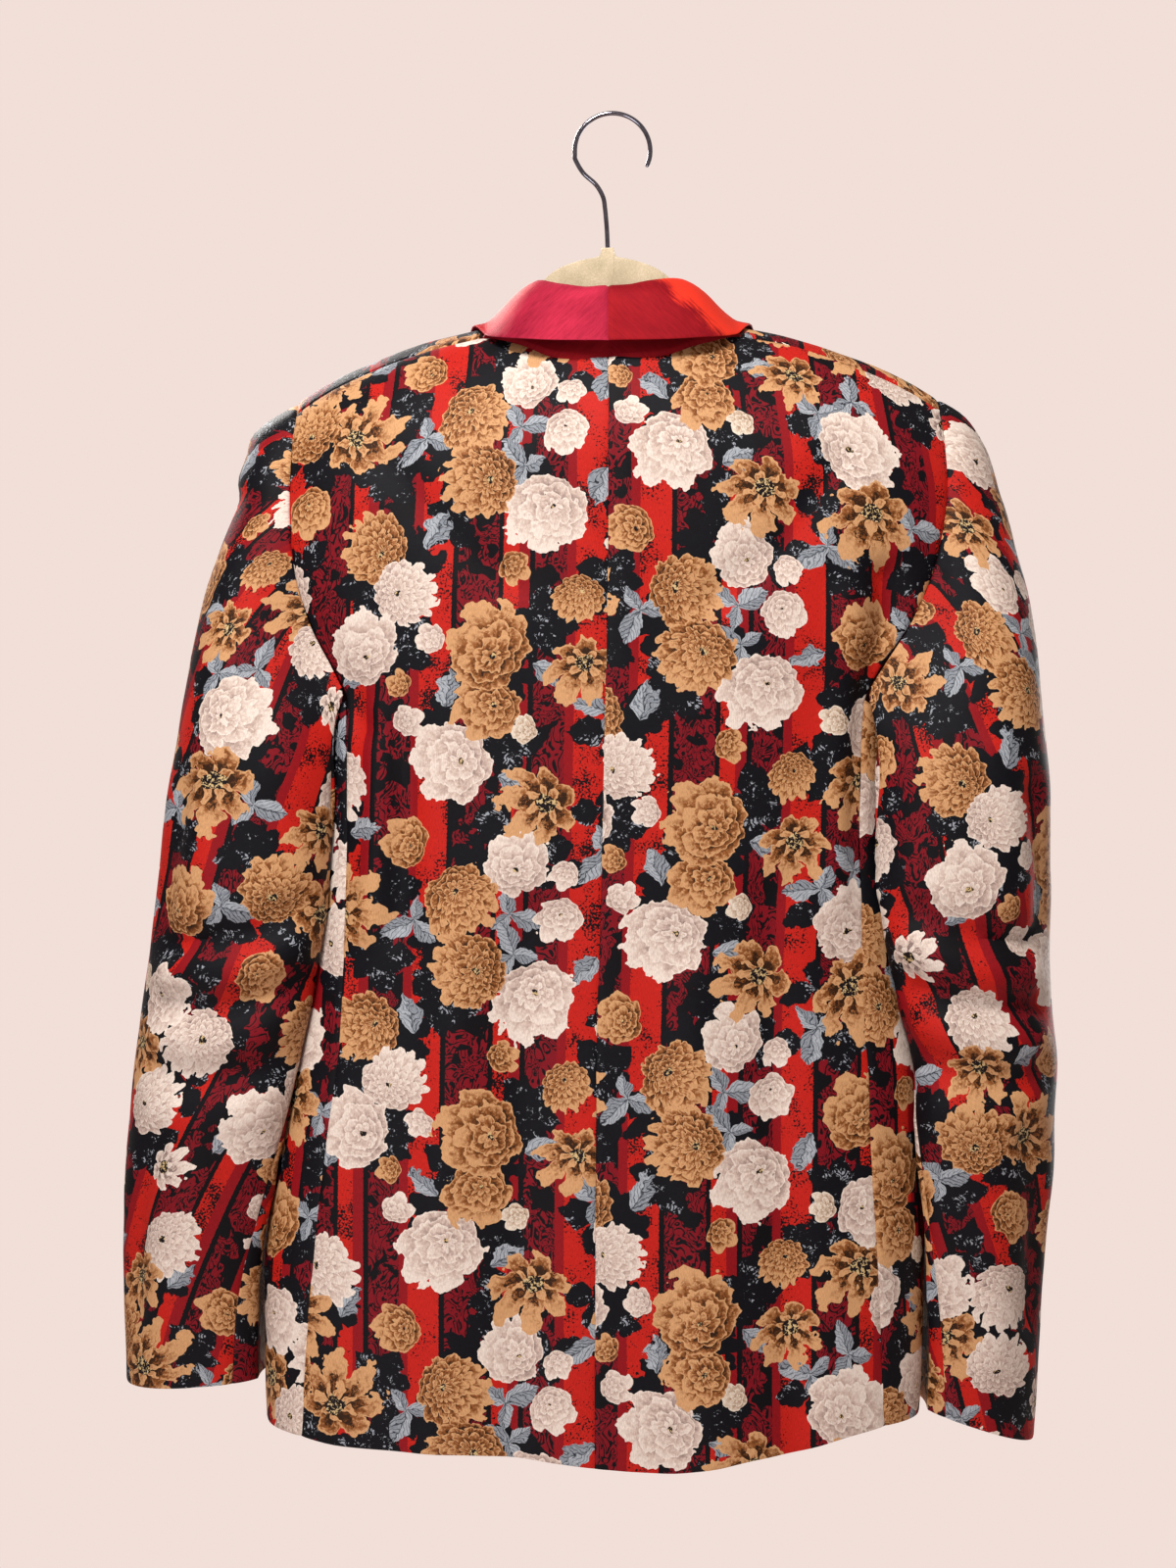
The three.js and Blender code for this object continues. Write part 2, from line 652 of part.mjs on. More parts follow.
function collarPoint(u, v, side) {
  const fold = foldPoint(v, side);
  const fall = curve(FALL, v);
  const p = fold.clone().lerp(fall, u);
  const behind = 1 - THREE.MathUtils.smoothstep(v, 0.1, 0.26);
  const bow = FALL_BULGE * Math.sin(Math.PI * clamp(u, 0, 1) ** 0.6) * behind;
  const n = V(fold.x, fold.y + 12, 30).normalize();
  p.addScaledVector(n, bow);
  const lie = THREE.MathUtils.smoothstep(v, 0.34, 0.5);
  const q = pushOut(V(Math.abs(p.x), p.y, p.z), LAPEL_OFF, lie);
  q.x = p.x < 0 ? p.x : q.x;
  if (side < 0 && q.y < 0) q.y += underlap(q.x, q.z);
  return q;
}

function standPoint(u, v, side) {
  const fold = foldPoint(v * STAND_END, side);
  const topX = BACK_EDGE.at(-1).x;
  const neckShare = 0.55; // of the stand's length, along the back panel's neck
  let seam;
  if (v < neckShare) {
    const x = (v / neckShare) * 91;
    seam = backPoint(x / topX, 1);
  } else {
    const k = (v - neckShare) / (1 - neckShare);
    seam = frontPoint(1, lerp(1, 0.925, k), 1);
  }
  const middle = V(0, -30, seam.z);
  const away = seam.clone().sub(middle).setZ(0).normalize();
  const low = seam.clone().addScaledVector(away, -1.9).add(V(0, 0, 1.5));
  const high = fold.clone().addScaledVector(away, -2.8).add(V(0, 0, -1.9));
  return low.lerp(high, u);
}

// ---- assembly ------------------------------------------------------------
const garment = new THREE.Group();
garment.name = "garment";
garment.position.x = CENTRE_X;

const jacquard = new THREE.MeshStandardMaterial({ color: 0x9a2a2c, roughness: 0.8 });
const jacquardUnder = new THREE.MeshStandardMaterial({ color: 0x84242a, roughness: 0.8 });
const satin = new THREE.MeshStandardMaterial({ color: 0xc22430, roughness: 0.35 });
const velvet = new THREE.MeshStandardMaterial({ color: 0xcdbf97, roughness: 0.95 });
const chrome = new THREE.MeshStandardMaterial({ color: 0xc8ccd0, roughness: 0.15, metalness: 1 });

function add(name, geometry, material, parent = garment) {
  const mesh = new THREE.Mesh(geometry, material);
  mesh.name = name;
  parent.add(mesh);
}

const hole = armhole();
for (const [hand, side] of [["left", 1], ["right", -1]]) {
  const sleeve = (from, to) => (u, v) => sleevePoint(hole, hand, lerp(from, to, u), v);
  const back = (u, v) => backPoint(u, v, side);
  const flank = (u, v) => sidePoint(u, v, side);
  const front = (u, v) => frontPoint(u, v, side);
  const collar = (u, v) => collarPoint(u, v, side);
  const stand = (u, v) => standPoint(u, v, side);
  const top = sleeve(FORE_SHARE, 1 + HIND_SHARE);
  const under = sleeve(HIND_SHARE, FORE_SHARE);
  add("back_" + hand, wall(back, 9, 20, side, true, CLOTH), jacquard);
  add("side_" + hand, wall(flank, 6, 13, side, true, CLOTH), jacquardUnder);
  add("front_" + hand, wall(front, 10, 21, side, true, CLOTH), jacquard);
  add("top_sleeve_" + hand, wall(top, 15, 17, side, false, CLOTH), jacquard);
  add("under_sleeve_" + hand, wall(under, 7, 17, side, false, CLOTH), jacquardUnder);
  add("collar_" + hand, wall(collar, 6, 31, side, true, SATIN), satin);
  add("collar_stand_" + hand, wall(stand, 4, 12, side, false, SATIN), satin);
}

// Button: a flat covered dome on the left front.
{
  const profile = [
    new THREE.Vector2(0, 0),
    new THREE.Vector2(8.5, 0),
    new THREE.Vector2(10, 1.4),
    new THREE.Vector2(9.4, 3.2),
    new THREE.Vector2(6, 4.4),
    new THREE.Vector2(0, 4.8),
  ];
  const geometry = new THREE.LatheGeometry(profile, 24);
  geometry.rotateX(Math.PI); // the dome faces forward
  const seat = bodyPoint(3, BUTTON_Z, "front");
  geometry.translate(3, seat.y - CLOTH / 2 - 0.9, BUTTON_Z);
  geometry.translate(at(BODY, "z", "lean", BUTTON_Z), 0, 0);
  add("button", geometry, satin);
}

// Hanger: one thin arched plate that carries both shoulders.
{
  const topLine = (x) => {
    const side = Math.sign(x) || 1;
    const far = Math.abs(x);
    if (far <= PLATE_TOP.at(-1).x) return at(PLATE_TOP, "x", "z", far) + seatShift(x);
    const own = far / (1 - side * SHOULDER_SPREAD);
    const cloth = hang(V(own, 0, at(RIDGE, "x", "z", own)), side);
    const dip = NECK_DIP * (1 - THREE.MathUtils.smoothstep(far, 91, 118));
    return cloth.z - CLOTH / 2 - SEAT - dip;
  };
  function seatShift(x) {
    return -SHOULDER_TILT * x * THREE.MathUtils.smoothstep(Math.abs(x), 55, 91);
  }
  const shape = new THREE.Shape();
  const steps = 14;
  const marks = PLATE_TOP.map((row) => row.x);
  for (let k = 1; k <= steps; k += 1) {
    marks.push(lerp(PLATE_TOP.at(-1).x, ARM_END, k / steps));
  }
  const tops = marks
    .slice(1)
    .reverse()
    .map((x) => -x)
    .concat(marks)
    .map((x) => new THREE.Vector2(x, topLine(x)));
  const under = tops
    .map((p) => {
      const end = THREE.MathUtils.smoothstep(Math.abs(p.x), ARM_END - 24, ARM_END);
      return new THREE.Vector2(p.x, p.y - ARM_DEEP * (1 - 0.62 * end) - neckDeep(p.x));
    })
    .reverse();
  function neckDeep(x) {
    const boss = BOSS_DEEP * (1 - THREE.MathUtils.smoothstep(Math.abs(x), 4, 12));
    return boss + NECK_DEEP * (1 - THREE.MathUtils.smoothstep(Math.abs(x), 25, 90));
  }
  shape.setFromPoints(tops.concat(under));
  const geometry = new THREE.ExtrudeGeometry(shape, {
    depth: PLATE_THICK,
    bevelEnabled: false,
  });
  geometry.rotateX(Math.PI / 2);
  geometry.translate(0, PLATE_THICK / 2, 0);
  add("hanger_body", geometry, velvet);
}

const hook = new THREE.Group();
{
  const middle = -(HOOK_RADIUS - HOOK_WIRE);
  const path = [];
  for (let a = -25; a <= 185; a += 15) {
    const turn = rad(a);
    path.push(V(-HOOK_RADIUS * Math.cos(turn), 0, middle + HOOK_RADIUS * Math.sin(turn)));
  }
  for (const { x, z } of HOOK_TAIL) path.push(V(x, 0, z));
  const wire = new THREE.CatmullRomCurve3(path);
  const round = new THREE.Shape();
  round.absarc(0, 0, HOOK_WIRE, 0, Math.PI * 2);
  const geometry = new THREE.ExtrudeGeometry(round, {
    steps: 44,
    curveSegments: 5,
    extrudePath: wire,
  });
  add("hanger_hook", geometry, chrome, hook);
}

const part = new THREE.Group();
part.name = "blazer_on_hanger";
part.add(garment, hook);
export default part;
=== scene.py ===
"""A floral blazer with a satin shawl collar on a thin velvet hanger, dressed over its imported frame.

Lengths in the tables are millimetres in the frame's axes: +Z up, the wearer faces -Y, and +X is
the wearer's left. The cloth is worked out from the same tables and surfaces as the frame's solids,
on a finer grid and with its folds.
"""

import bisect
import math

import bpy
import numpy as np
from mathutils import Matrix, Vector, noise


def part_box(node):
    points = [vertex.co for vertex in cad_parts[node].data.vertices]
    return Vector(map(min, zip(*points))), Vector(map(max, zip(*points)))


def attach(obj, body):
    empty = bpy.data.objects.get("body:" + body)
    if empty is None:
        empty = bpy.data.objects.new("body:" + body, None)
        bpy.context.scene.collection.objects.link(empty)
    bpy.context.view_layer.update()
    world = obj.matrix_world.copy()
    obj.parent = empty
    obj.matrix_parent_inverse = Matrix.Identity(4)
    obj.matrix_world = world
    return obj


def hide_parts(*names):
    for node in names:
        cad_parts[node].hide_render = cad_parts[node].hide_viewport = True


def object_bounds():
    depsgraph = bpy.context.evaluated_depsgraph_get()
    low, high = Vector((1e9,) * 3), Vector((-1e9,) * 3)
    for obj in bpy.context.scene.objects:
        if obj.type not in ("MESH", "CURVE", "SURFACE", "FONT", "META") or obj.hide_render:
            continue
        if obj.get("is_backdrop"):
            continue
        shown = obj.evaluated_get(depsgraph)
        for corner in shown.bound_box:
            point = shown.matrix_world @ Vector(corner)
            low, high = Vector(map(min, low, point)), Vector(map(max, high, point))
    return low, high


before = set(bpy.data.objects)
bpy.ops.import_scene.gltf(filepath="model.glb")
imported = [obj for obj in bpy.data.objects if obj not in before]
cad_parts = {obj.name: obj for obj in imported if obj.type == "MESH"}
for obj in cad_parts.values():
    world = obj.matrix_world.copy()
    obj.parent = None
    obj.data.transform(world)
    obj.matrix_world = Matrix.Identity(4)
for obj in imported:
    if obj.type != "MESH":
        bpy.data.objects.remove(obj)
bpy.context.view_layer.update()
scene = bpy.context.scene
MM = 1e-3  # a millimetre in metres

# ---- camera ----------------------------------------------------------------
camera = bpy.data.objects.new("camera", bpy.data.cameras.new("camera"))
scene.collection.objects.link(camera)
camera.location = (0.017, 1.700, -0.4638)
camera.rotation_euler = (math.pi / 2, 0, math.pi)
camera.data.lens = 56.25
camera.data.sensor_width = 36
scene.camera = camera

# ---- sizes -----------------------------------------------------------------
CENTRE_X = 3.4  # the hanger's stem stands this far beside the hook's middle
CLOTH = 1.6  # wall of the jacquard panels
SATIN = 1.5  # wall of the collar pieces
SEAM_IN = -0.13  # each edge passes the seam line by this much, so no light comes through
SEAM_DIP = 0.6  # how far the cloth dips into a seam
SEAT = 1.5  # air between the hanger and the cloth that hangs on it
SQUARE = 2.7  # how square the body's rings are
ROUND = 1.7  # how round the shoulder is, from front to back
BACK_DROP, BACK_ROLL = 110, 132  # height of the shoulder's rounding, and its length along the cloth
FRONT_DROP, FRONT_ROLL = 130, 160
SEAM_ANGLE = 22  # degrees behind the ridge where the shoulder seam lies
SHOULDER_TILT = 0.007  # the wearer's right shoulder hangs a little higher
SHOULDER_SPREAD = 0.032  # and a little wider
FLANK = (120, 215)  # distances from the middle over which a side stands out
NECK_X, SHOULDER_X = 91, 221  # where the shoulder seam starts and ends
BACK_HEM_X = 199  # the hem's reach from the middle to the side panel, at the back
FRONT_HEM_X = (190, 52)  # and at the front, to the edge
OVERLAP = 20  # each front runs past the middle by this much
UNDERLAP = 7  # and the right one lies this far under the left one
BACK_HOLE_Z, FRONT_HOLE_Z = -408, -412  # where the side seams meet the armhole
# shares of a panel's rows below the armhole's corners and below the shoulder's ridge
BACK_CORNER, FRONT_CORNER, FRONT_RIDGE = 11 / 19, 10 / 20, 18 / 20
HIND_SHARE, FORE_SHARE = 0.4, 0.6  # the under sleeve's part of the sleeve's girth
BICEP_Z = -470  # where a sleeve's head ends and its rings start
ARMHOLE_GAP = 0.5  # the sleeve starts this far outside the armhole's edge
HOLE_MIDDLE = (205, 0, -320)  # about the armhole's middle
HEAD_SHARE = 0.46  # of the sleeve's rows, from armhole to bicep
SLEEVE_OFF = 4  # the sleeve's distance from the body's side
SLEEVE_SKEW = 0.18  # the hind half of a sleeve lies this much nearer the body for its depth
SLEEVE_SQUARE = 2.35  # how square the sleeve's rings are
CUFF = {"left": (-873, -880), "right": (-892, -921)}  # heights of its inner and outer end
FALL_BULGE = 5  # how far the fall stands off a straight line at the back of the neck
FOLD_SAG = 2.6  # the fold hangs this much lower between middle and shoulder on the left
TIP_REST = 1.6  # the fall's edge lies this much lower over the shoulder
STAND_END = 0.3  # share of the fold where the stand runs out
LAPEL_OFF = 3.8  # the lapel's distance from the front panel under it
PLATE_THICK = 5
ARM_END = 203  # half the hanger's width
ARM_DEEP = 22  # height of the hanger's arms
NECK_DEEP, BOSS_DEEP = 20, 6  # the plate is this much higher at its neck, and again at its stem
NECK_DIP = 5  # the plate lies this much lower beside the neck than under the shoulders
HOOK_WIRE = 1.6
HOOK_RADIUS = 26.2


class Table:
    """Rows by an ascending key, read with a monotone cubic between them."""

    def __init__(self, columns, *rows):
        self.keys = keys = [float(r[0]) for r in rows]
        self.columns = {}
        for n, name in enumerate(columns.split()[1:], 1):
            v = [float(r[n]) for r in rows]
            rise = [(v[i + 1] - v[i]) / (keys[i + 1] - keys[i]) for i in range(len(v) - 1)]
            pairs = zip([rise[0]] + rise, rise + [rise[-1]])
            slope = [0 if a * b <= 0 else 2 * a * b / (a + b) for a, b in pairs]
            self.columns[name] = (v, slope)

    def at(self, name, k):
        v, slope = self.columns[name]
        keys = self.keys
        if k <= keys[0]:
            return v[0]
        if k >= keys[-1]:
            return v[-1]
        i = bisect.bisect_right(keys, k) - 1
        span = keys[i + 1] - keys[i]
        t = (k - keys[i]) / span
        t2, t3 = t * t, t * t * t
        return (
            v[i] * (2 * t3 - 3 * t2 + 1)
            + slope[i] * span * (t3 - 2 * t2 + t)
            + v[i + 1] * (3 * t2 - 2 * t3)
            + slope[i + 1] * span * (t3 - t2)
        )


# half width, depths behind and in front, lean, and how far the right side stands out, by height
BODY = Table(
    "z half back front lean right",
    (-920, 227, 74, 76, 9, -3), (-870, 229, 75, 78, 9, -2), (-800, 228, 75, 80, 9, 0),
    (-700, 218, 74, 83, 8.5, 7), (-650, 211, 73, 85, 7.8, 13), (-605, 203, 72, 88, 7, 12),
    (-500, 198, 75, 98, 4, 3), (-408, 201, 77, 104, 2, 0), (-355, 227, 77, 104, 1, 0),
    (-314, 239, 77, 102, 0.5, 0), (-262, 246, 76, 96, 0, 0), (-200, 252, 75, 90, 0, 0),
    (-120, 256, 75, 86, 0, 0),
)
# the shoulder's highest line
RIDGE = Table(
    "x z",
    (0, -136), (50, -141), (91, -149), (126, -157), (163, -169.5), (197, -184.5),
    (226, -202.5), (250, -222),
)
# the side-back seam; w is the height, or the length along the cloth above the rounding's start
BACK_EDGE = Table(
    "w x",
    (-920, 199), (-800, 191), (-700, 180), (-605, 172), (-500, 172.5), (-408, 175),
    (-390, 183), (-355, 203), (-314, 217), (-262, 223), (-235, 222.5), (-214, 221),
    (-195, 221),
)
# the back's upper edge: neck, then shoulder seam, in degrees behind the ridge
BACK_TOP = Table(
    "x q",
    (0, 47.5), (35, 44.5), (62, 34), (80, 26), (91, SEAM_ANGLE), (230, SEAM_ANGLE),
)
# the front's two long edges
FRONT_SIDE = Table(
    "w x",
    (-920, 190), (-800, 181), (-700, 170), (-605, 163), (-500, 166), (-412, 170),
    (-390, 172), (-350, 177), (-300, 190), (-250, 205), (-205, 216), (-165, 221),
)
FRONT_EDGE = Table(
    "w x",
    (-925, 52), (-900, 26), (-860, 8), (-780, -9), (-690, -18), (-606, -OVERLAP),
    (-560, -8), (-490, 14), (-410, 34), (-330, 52), (-260, 65), (-200, 76),
    (-160, 84), (-130, 91),
)
# lower edges
BACK_HEM = Table(
    "x left right",
    (0, -918, -918), (28, -914.5, -920.5), (50, -912, -921.5), (75, -910, -918.5),
    (105, -908.5, -914), (135, -908, -910.5), (170, -907, -901.5), (200, -903, -896),
    (230, -893, -889),
)
FRONT_HEM = Table("x z", (30, -908), (52, -917), (80, -921), (130, -911), (190, -893))
UNDERARM = Table("u z", (0, -408), (0.25, -422), (0.5, -428), (0.75, -424), (1, -412))
# a sleeve's outer and inner side, the middle of its depth, its half depth, and where in degrees
# round it the hind-arm seam lies
SLEEVE = {
    "left": Table(
        "z outer inner y depth hind",
        (-900, 327, 229, -20, 40, 112), (-830, 328, 227, -12, 45, 116),
        (-750, 326, 216, -2, 50, 128), (-668, 319, 203, 7, 55, 148),
        (-590, 310, 190, 12, 58, 158), (-530, 303, 180, 15, 60, 155),
        (-470, 296, 175, 16, 61, 148),
    ),
    "right": Table(
        "z outer inner y depth hind",
        (-925, 310, 229, -20, 41, 112), (-830, 313, 221, -12, 46, 116),
        (-750, 313, 213, -2, 50, 128), (-668, 306, 204, 7, 55, 148),
        (-590, 300, 189, 12, 58, 158), (-530, 303, 178, 15, 60, 155),
        (-470, 303, 176, 16, 61, 148),
    ),
}
# how far the sleeve's head stands out or in
CAP = Table(
    "z left right",
    (-470, 0, 0), (-423, -2, -2), (-382, -1.5, -4), (-341, -1, -7), (-300, -4, -11),
    (-268, -7, -11), (-251, 0, -8), (-235, 2, -4), (-219, 9, -1), (-203, 12, 6),
)
# the collar's fold and its outer edge, from the middle of the back down to the button
FOLD = Table(
    "s x y z",
    (0, 0, 46, -128), (0.03, 12.3, 45.2, -127.3), (0.06, 24, 43, -124.5), (0.12, 46, 31, -120.5),
    (0.17, 60, 13, -125), (0.22, 65, -7, -132), (0.28, 66, -28, -149),
    (0.35, 68, -52, -181), (0.46, 62, -78, -246), (0.6, 49, -95, -330),
    (0.73, 32, -104, -410), (0.86, 10, -104, -490), (1, -14, -97, -574),
)
FALL = Table(
    "s x y z",
    (0, 0, 63, -167), (0.06, 34, 62, -166.5), (0.12, 63, 54, -163.5),
    (0.17, 84, 34, -157), (0.22, 94, 6, -149), (0.28, 102, -26, -160),
    (0.35, 114, -58, -196), (0.46, 128, -84, -262), (0.6, 124, -104, -345),
    (0.73, 98, -112, -428), (0.86, 52, -108, -508), (1, -9, -98, -585),
)
# the hanger's upper edge beside its stem, and the hook's tail down to it
PLATE_TOP = Table(
    "x z",
    (0, -92), (4.3, -92), (4.8, -95.6), (5.9, -97.8), (8.6, -98.8), (14, -99.6), (30, -104.5),
    (42, -112), (48, -120), (53, -132), (58, -143), (66, -151), (80, -155), (91, -157),
)
HOOK_TAIL = [
    (25.6, -31), (20.2, -40), (11.5, -48), (6.6, -56.5), (5.2, -64.6), (4.4, -72.8),
    (3.8, -81), (3.4, -91.6),
]


# ---- small helpers ---------------------------------------------------------
def clamp(v, lo=0.0, hi=1.0):
    return lo if v < lo else hi if v > hi else v


def lerp(a, b, t):
    return a + (b - a) * t


def smoothstep(v, lo, hi):
    t = clamp((v - lo) / (hi - lo))
    return t * t * (3 - 2 * t)


def power(value, exponent):
    return math.copysign(abs(value) ** exponent, value)


def hang(p, side):
    """How the garment sits on its hanger: it leans, and one shoulder is higher."""
    far = smoothstep(abs(p.x), *FLANK)
    x = p.x if side > 0 else -(p.x + BODY.at("right", p.z) * far)
    high = smoothstep(p.z, -440, -250)
    across = x + BODY.at("lean", p.z) - SHOULDER_SPREAD * abs(x) * high + CENTRE_X
    return Vector((across, p.y, p.z - SHOULDER_TILT * x * high))


# ---- the garment's surfaces ------------------------------------------------
def ring_depth(x, z, which):
    share = clamp(abs(x) / BODY.at("half", z), 0, 0.999)
    return BODY.at(which, z) * (1 - share**SQUARE) ** (1 / SQUARE)


def body_point(x, w, face):
    ridge = RIDGE.at("z", x)
    drop, roll = (BACK_DROP, BACK_ROLL) if face == "back" else (FRONT_DROP, FRONT_ROLL)
    sign = 1 if face == "back" else -1
    start = ridge - drop
    if w <= start:
        return Vector((x, sign * ring_depth(x, w, face), w))
    q = (math.pi / 2) * (1 - (w - start) / roll)
    reach, which = drop, face
    if q < 0:  # past the ridge
        reach, which = (FRONT_DROP, "front") if face == "back" else (BACK_DROP, "back")
    z = ridge - reach * (1 - max(math.cos(q), 0) ** (2 / ROUND))
    return Vector((x, sign * ring_depth(x, z, which) * power(math.sin(q), 2 / ROUND), z))


def top_of(x, face, q):
    if face == "back":
        return RIDGE.at("z", x) - BACK_DROP + BACK_ROLL * (1 - q / 90)
    return RIDGE.at("z", x) - FRONT_DROP + FRONT_ROLL * (1 + q / 90)


def level(x, y, z):
    """Below 0 inside the body and above 0 outside it."""
    face, drop = ("back", BACK_DROP) if y >= 0 else ("front", FRONT_DROP)
    up = clamp(1 - (RIDGE.at("z", abs(x)) - z) / drop, 0, 3)
    return (abs(y) / ring_depth(x, z, face)) ** ROUND + up**ROUND - 1


def push_out(p, gap, lie):
    """Moves p out to a distance from the body, and in by the share `lie` if it is farther."""
    q = p.copy()
    e = 0.5
    ways = [Vector(w) * e for w in ((1, 0, 0), (0, 1, 0), (0, 0, 1))]
    for _ in range(8):
        g = Vector([level(*(q + w)) - level(*(q - w)) for w in ways]) / (2 * e)
        size = g.length or 1
        distance = level(*q) / size
        q += g / size * ((gap - distance) * (1 if distance < gap else lie))
    return q


class Line:
    """A polyline that is read by its length."""

    def __init__(self, points):
        self.points = points
        self.lengths = [0.0]
        for a, b in zip(points, points[1:]):
            self.lengths.append(self.lengths[-1] + (b - a).length)

    def at(self, distance):
        i = clamp(bisect.bisect_left(self.lengths, distance), 1, len(self.points) - 1)
        a, b = self.lengths[i - 1], self.lengths[i]
        t = (distance - a) / ((b - a) or 1)
        return self.points[i - 1].lerp(self.points[i], clamp(t))

    def share(self, t):
        return self.at(t * self.lengths[-1])


def passing(stops, v):
    """The value at v on straight lines through the stops."""
    k = 0
    while k < len(stops) - 2 and v >= stops[k + 1][0]:
        k += 1
    (v0, w0), (v1, w1) = stops[k], stops[k + 1]
    return lerp(w0, w1, (v - v0) / (v1 - v0))


def back_hem(x, side):
    return BACK_HEM.at("left" if side > 0 else "right", x)


def back_point(u, v, side=1):
    top_x = u * SHOULDER_X
    top = top_of(top_x, "back", BACK_TOP.at("q", top_x))
    stops = [(0, back_hem(u * BACK_HEM_X, side)), (BACK_CORNER, BACK_HOLE_Z), (1, top)]
    w = passing(stops, v)
    return body_point(u * BACK_EDGE.at("x", w), w, "back")


def ring_point(z, u):
    half = BODY.at("half", z)
    back, front = BODY.at("back", z), BODY.at("front", z)

    def angle(x):
        return math.asin(clamp((x / half) ** (SQUARE / 2)))

    def at(phi):
        depth = back if phi < math.pi / 2 else front
        across = half * math.sin(phi) ** (2 / SQUARE)
        return Vector((across, depth * power(math.cos(phi), 2 / SQUARE), z))

    start, end = angle(BACK_EDGE.at("x", z)), math.pi - angle(FRONT_SIDE.at("x", z))
    return Line([at(lerp(start, end, k / 40)) for k in range(41)]).share(u)


def side_point(u, v, side=1):
    hem = lerp(back_hem(BACK_HEM_X, side), FRONT_HEM.at("z", FRONT_HEM_X[0]), u)
    return ring_point(lerp(hem, UNDERARM.at("z", u), v), u)


def underlap(x, w):
    near = 1 - smoothstep(x, OVERLAP + 6, OVERLAP + 42)
    return UNDERLAP * near * (1 - smoothstep(w, -515, -430))


def front_point(u, v, side=1):
    top_x = lerp(SHOULDER_X, NECK_X, u)
    stops = [
        (0, FRONT_HEM.at("z", lerp(*FRONT_HEM_X, u))),
        (FRONT_CORNER, FRONT_HOLE_Z),
        (FRONT_RIDGE, top_of(top_x, "front", 0)),
        (1, top_of(top_x, "front", SEAM_ANGLE)),
    ]
    w = passing(stops, v)
    x = lerp(FRONT_SIDE.at("x", w), FRONT_EDGE.at("x", w), u)
    p = body_point(abs(x), w, "front")
    p.x = x
    if side < 0:
        p.y += underlap(x, w)
    return p


# the armhole's three parts, from the shoulder's end round under the arm and up the front
STEPS = [k / 24 for k in range(25)]
HOLE = [
    Line([back_point(1, lerp(1, BACK_CORNER, k)) for k in STEPS]),
    Line([side_point(k, 1) for k in STEPS]),
    Line([front_point(0, lerp(FRONT_CORNER, 1, k)) for k in STEPS]),
]


def armhole_point(c):
    if c <= HIND_SHARE:
        return HOLE[0].share(c / HIND_SHARE)
    if c <= FORE_SHARE:
        return HOLE[1].share((c - HIND_SHARE) / (FORE_SHARE - HIND_SHARE))
    return HOLE[2].share((c - FORE_SHARE) / (1 - FORE_SHARE))


def beside(p):
    """Keeps a sleeve's point clear of the body's side."""
    if p.z > -398:
        return p
    depth = BODY.at("back" if p.y > 0 else "front", p.z)
    clear = SLEEVE_OFF * smoothstep(-p.z, 398, 418)
    share = clamp(abs(p.y) / (depth + clear))
    body = (BODY.at("half", p.z) + clear) * (1 - share**SQUARE) ** (1 / SQUARE)
    p.x = max(p.x, body)
    return p


def sleeve_ring(table, z, c):
    outer, inner, hind = (table.at(name, z) for name in ("outer", "inner", "hind"))
    turns = Table(
        "c a",
        (-0.2, -62), (0, 4), (0.2, 0.46 * hind), (HIND_SHARE, hind),
        (0.5, lerp(hind, 228, 0.5)), (FORE_SHARE, 228), (0.8, 298), (1, 364),
        (1.2, 360 + 0.46 * hind),
    )
    a = math.radians(turns.at("a", c))
    e = 2 / SLEEVE_SQUARE
    back = table.at("depth", z) * power(math.sin(a), e)
    skew = SLEEVE_SKEW * smoothstep(-z, 470, 600)
    across = (outer + inner) / 2 + (outer - inner) / 2 * power(math.cos(a), e)
    return beside(Vector((across - skew * back, table.at("y", z) + back, z)))


lines = {}


def sleeve_start(hand, c):
    """What the upper sleeve's line at share c of the girth starts and ends with."""
    if (hand, c) not in lines:
        table = SLEEVE[hand]
        start = armhole_point(c)
        ring = sleeve_ring(table, BICEP_Z, c)
        below = sleeve_ring(table, BICEP_Z - 10, c)
        chord = (ring - start).length
        away = (start - Vector(HOLE_MIDDLE)).normalized()
        top = clamp((start.z + 428) / 226)
        out = Vector((1.0, 0.55 * away.y, -0.95 + 0.45 * top)).normalized()
        down = (below - ring).normalized() * chord
        start = start + out * ARMHOLE_GAP
        low = CUFF[hand][1]
        outer, inner = table.at("outer", low), table.at("inner", low)
        across = (sleeve_ring(table, low, c).x - inner) / (outer - inner)
        out = out * (chord * (0.55 + 0.25 * top))
        lines[hand, c] = (start, out, ring, down, lerp(*CUFF[hand], clamp(across)))
    return lines[hand, c]


def sleeve_point(hand, girth, t):
    table = SLEEVE[hand]
    c = girth % 1
    start, out, ring, down, end = sleeve_start(hand, c)
    if t > HEAD_SHARE:
        z = lerp(BICEP_Z, end, (t - HEAD_SHARE) / (1 - HEAD_SHARE))
        return sleeve_ring(table, z, c)
    k = t / HEAD_SHARE
    k2, k3 = k * k, k * k * k
    p = (
        start * (2 * k3 - 3 * k2 + 1)
        + out * (k3 - 2 * k2 + k)
        + ring * (3 * k2 - 2 * k3)
        + down * (k3 - k2)
    )
    capped = max(0, math.cos(2 * math.pi * c)) ** 0.7
    p.x += CAP.at(hand, p.z) * capped * smoothstep(k, 0, 0.2)
    return beside(p)


def curve(table, s):
    return Vector([table.at(name, s) for name in "xyz"])


def fold_point(v, side):
    """The collar's fold, which hangs lower on the left."""
    fold = curve(FOLD, v)
    if side > 0:
        fold.z -= FOLD_SAG * smoothstep(v, 0, 0.06) * (1 - smoothstep(v, 0.085, 0.13))
    return fold


